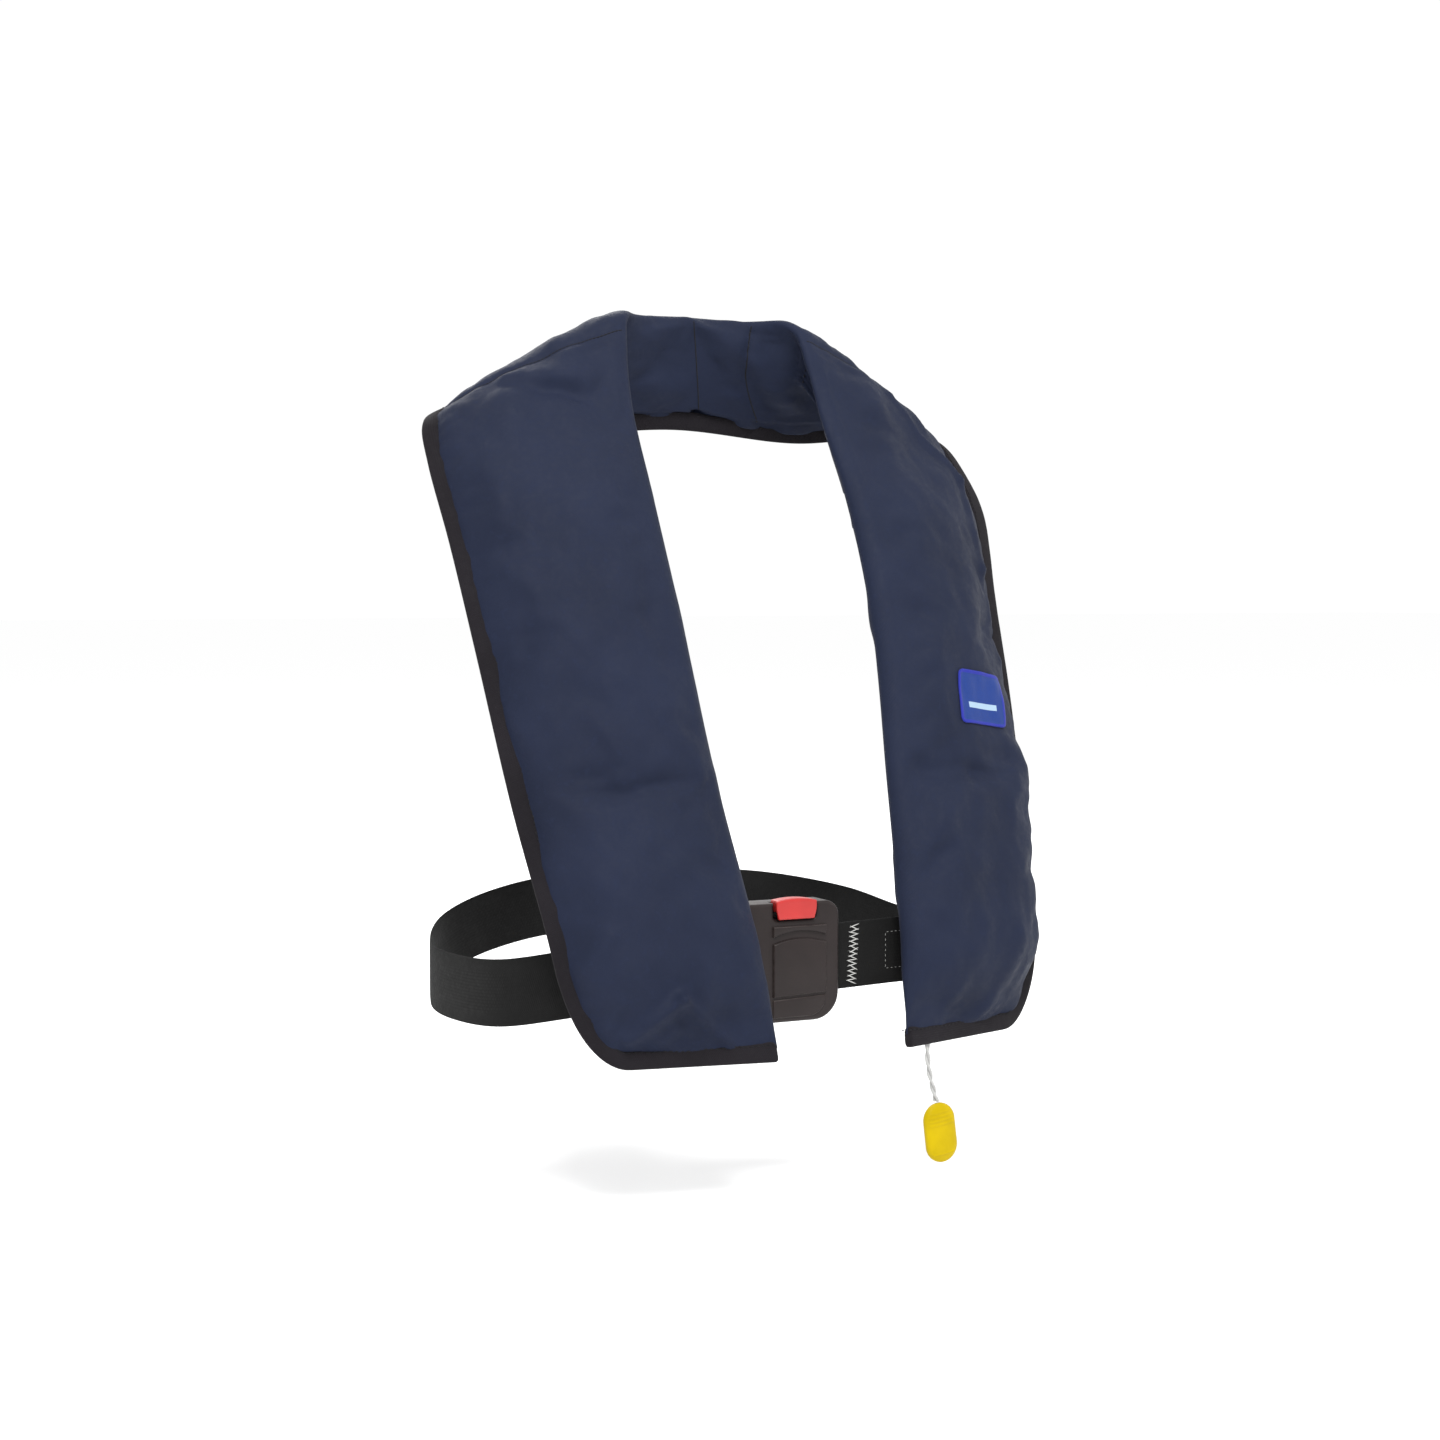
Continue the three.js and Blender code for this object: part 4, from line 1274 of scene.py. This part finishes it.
# ---------------------------------------------------------------- the add-on
class JacketLook(bpy.types.PropertyGroup):
    """Colours, padding and studio settings of the life jacket."""

    cloth: FloatVectorProperty(name="Cloth", description="Cover cloth colour", subtype="COLOR", size=3,
                               default=(0.0103, 0.014, 0.0302))
    tape: FloatVectorProperty(name="Edge tape", description="Binding colour", subtype="COLOR", size=3,
                              default=(0.0098, 0.0085, 0.0105))
    webbing: FloatVectorProperty(name="Webbing", description="Belt colour", subtype="COLOR", size=3,
                                 default=(0.0092, 0.0092, 0.0092))
    buckle: FloatVectorProperty(name="Buckle", description="Housing colour", subtype="COLOR", size=3,
                                default=(0.0145, 0.0102, 0.0099))
    button: FloatVectorProperty(name="Button", description="Release button colour", subtype="COLOR", size=3,
                                default=(0.37, 0.019, 0.017))
    handle: FloatVectorProperty(name="Handle", description="Pull handle colour", subtype="COLOR", size=3,
                                default=(0.39, 0.28, 0.0005))
    pressure: FloatProperty(name="Padding pressure", description="Pressure that swells the covers",
                            default=4.0)
    swell: FloatProperty(name="Padding travel", description="How far a point of cloth may move",
                         default=5 * MM, unit="LENGTH")
    fill: FloatProperty(name="Fill light", description="Strength of the even studio light", default=1.02)
    key: FloatProperty(name="Key light", description="Power of the main soft light", default=80.0,
                       unit="POWER")
    floor_height: FloatProperty(name="Floor height", description="Height of the pale floor", default=-0.56,
                                unit="LENGTH")


def look_of(context):
    return context.scene.jacket_look


class JACKET_OT_materials(bpy.types.Operator):
    """Make the cloth, plastic and metal finishes and dress the fittings"""
    bl_idname = "jacket.materials"
    bl_label = "Materials"

    def execute(self, context):
        make_materials(look_of(context))
        dress_fittings()
        return {"FINISHED"}


class JACKET_OT_stage(bpy.types.Operator):
    """Make the floor, lights and camera"""
    bl_idname = "jacket.stage"
    bl_label = "Stage"

    def execute(self, context):
        build_stage(look_of(context))
        return {"FINISHED"}


class JACKET_OT_pull(bpy.types.Operator):
    """Make the pull cord's two legs and its handle"""
    bl_idname = "jacket.pull"
    bl_label = "Pull cord"

    def execute(self, context):
        build_pull()
        return {"FINISHED"}


class JACKET_OT_covers(bpy.types.Operator):
    """Make the padded covers of both lobes and the collar"""
    bl_idname = "jacket.covers"
    bl_label = "Covers"

    def execute(self, context):
        build_covers(look_of(context))
        return {"FINISHED"}


class JACKET_OT_seams(bpy.types.Operator):
    """Sew the collar and shoulder seams"""
    bl_idname = "jacket.seams"
    bl_label = "Seams"

    def execute(self, context):
        build_seams()
        return {"FINISHED"}


class JACKET_OT_tape(bpy.types.Operator):
    """Make the edge tape and its stitches"""
    bl_idname = "jacket.tape"
    bl_label = "Edge tape"

    def execute(self, context):
        build_tape()
        return {"FINISHED"}


class JACKET_OT_patch(bpy.types.Operator):
    """Lay the embroidered patch on the left lobe"""
    bl_idname = "jacket.patch"
    bl_label = "Patch"

    def execute(self, context):
        build_patch()
        return {"FINISHED"}


class JACKET_OT_belt(bpy.types.Operator):
    """Make the ribbed belt, its loops and its sewing"""
    bl_idname = "jacket.belt"
    bl_label = "Belt"

    def execute(self, context):
        build_belt()
        return {"FINISHED"}


class JACKET_OT_buckle(bpy.types.Operator):
    """Make the buckle housing, its button and the tongue's grip"""
    bl_idname = "jacket.buckle"
    bl_label = "Buckle"

    def execute(self, context):
        for build in (housing_front, housing_back, button_cap, tongue_grip):
            build()
        return {"FINISHED"}


OPERATORS = (
    JACKET_OT_materials, JACKET_OT_stage, JACKET_OT_pull, JACKET_OT_covers, JACKET_OT_seams,
    JACKET_OT_tape, JACKET_OT_patch, JACKET_OT_belt, JACKET_OT_buckle,
)


class JACKET_PT_panel(bpy.types.Panel):
    """Lists the life jacket's settings and pieces"""
    bl_idname = "JACKET_PT_panel"
    bl_label = "Life Jacket"
    bl_space_type = "VIEW_3D"
    bl_region_type = "UI"
    bl_category = "Life Jacket"

    def draw(self, context):
        look = look_of(context)
        for name in JacketLook.__annotations__:
            self.layout.prop(look, name)
        for operator in OPERATORS:
            self.layout.operator(operator.bl_idname)


CLASSES = (JacketLook, *OPERATORS, JACKET_PT_panel)


def register():
    for each in CLASSES:
        bpy.utils.register_class(each)
    bpy.types.Scene.jacket_look = PointerProperty(type=JacketLook)


def unregister():
    del bpy.types.Scene.jacket_look
    for each in reversed(CLASSES):
        bpy.utils.unregister_class(each)


def main():
    register()
    for step in ("materials", "stage", "pull", "covers", "seams", "tape", "patch", "belt", "buckle"):
        getattr(bpy.ops.jacket, step)()


if __name__ == "__main__":
    main()
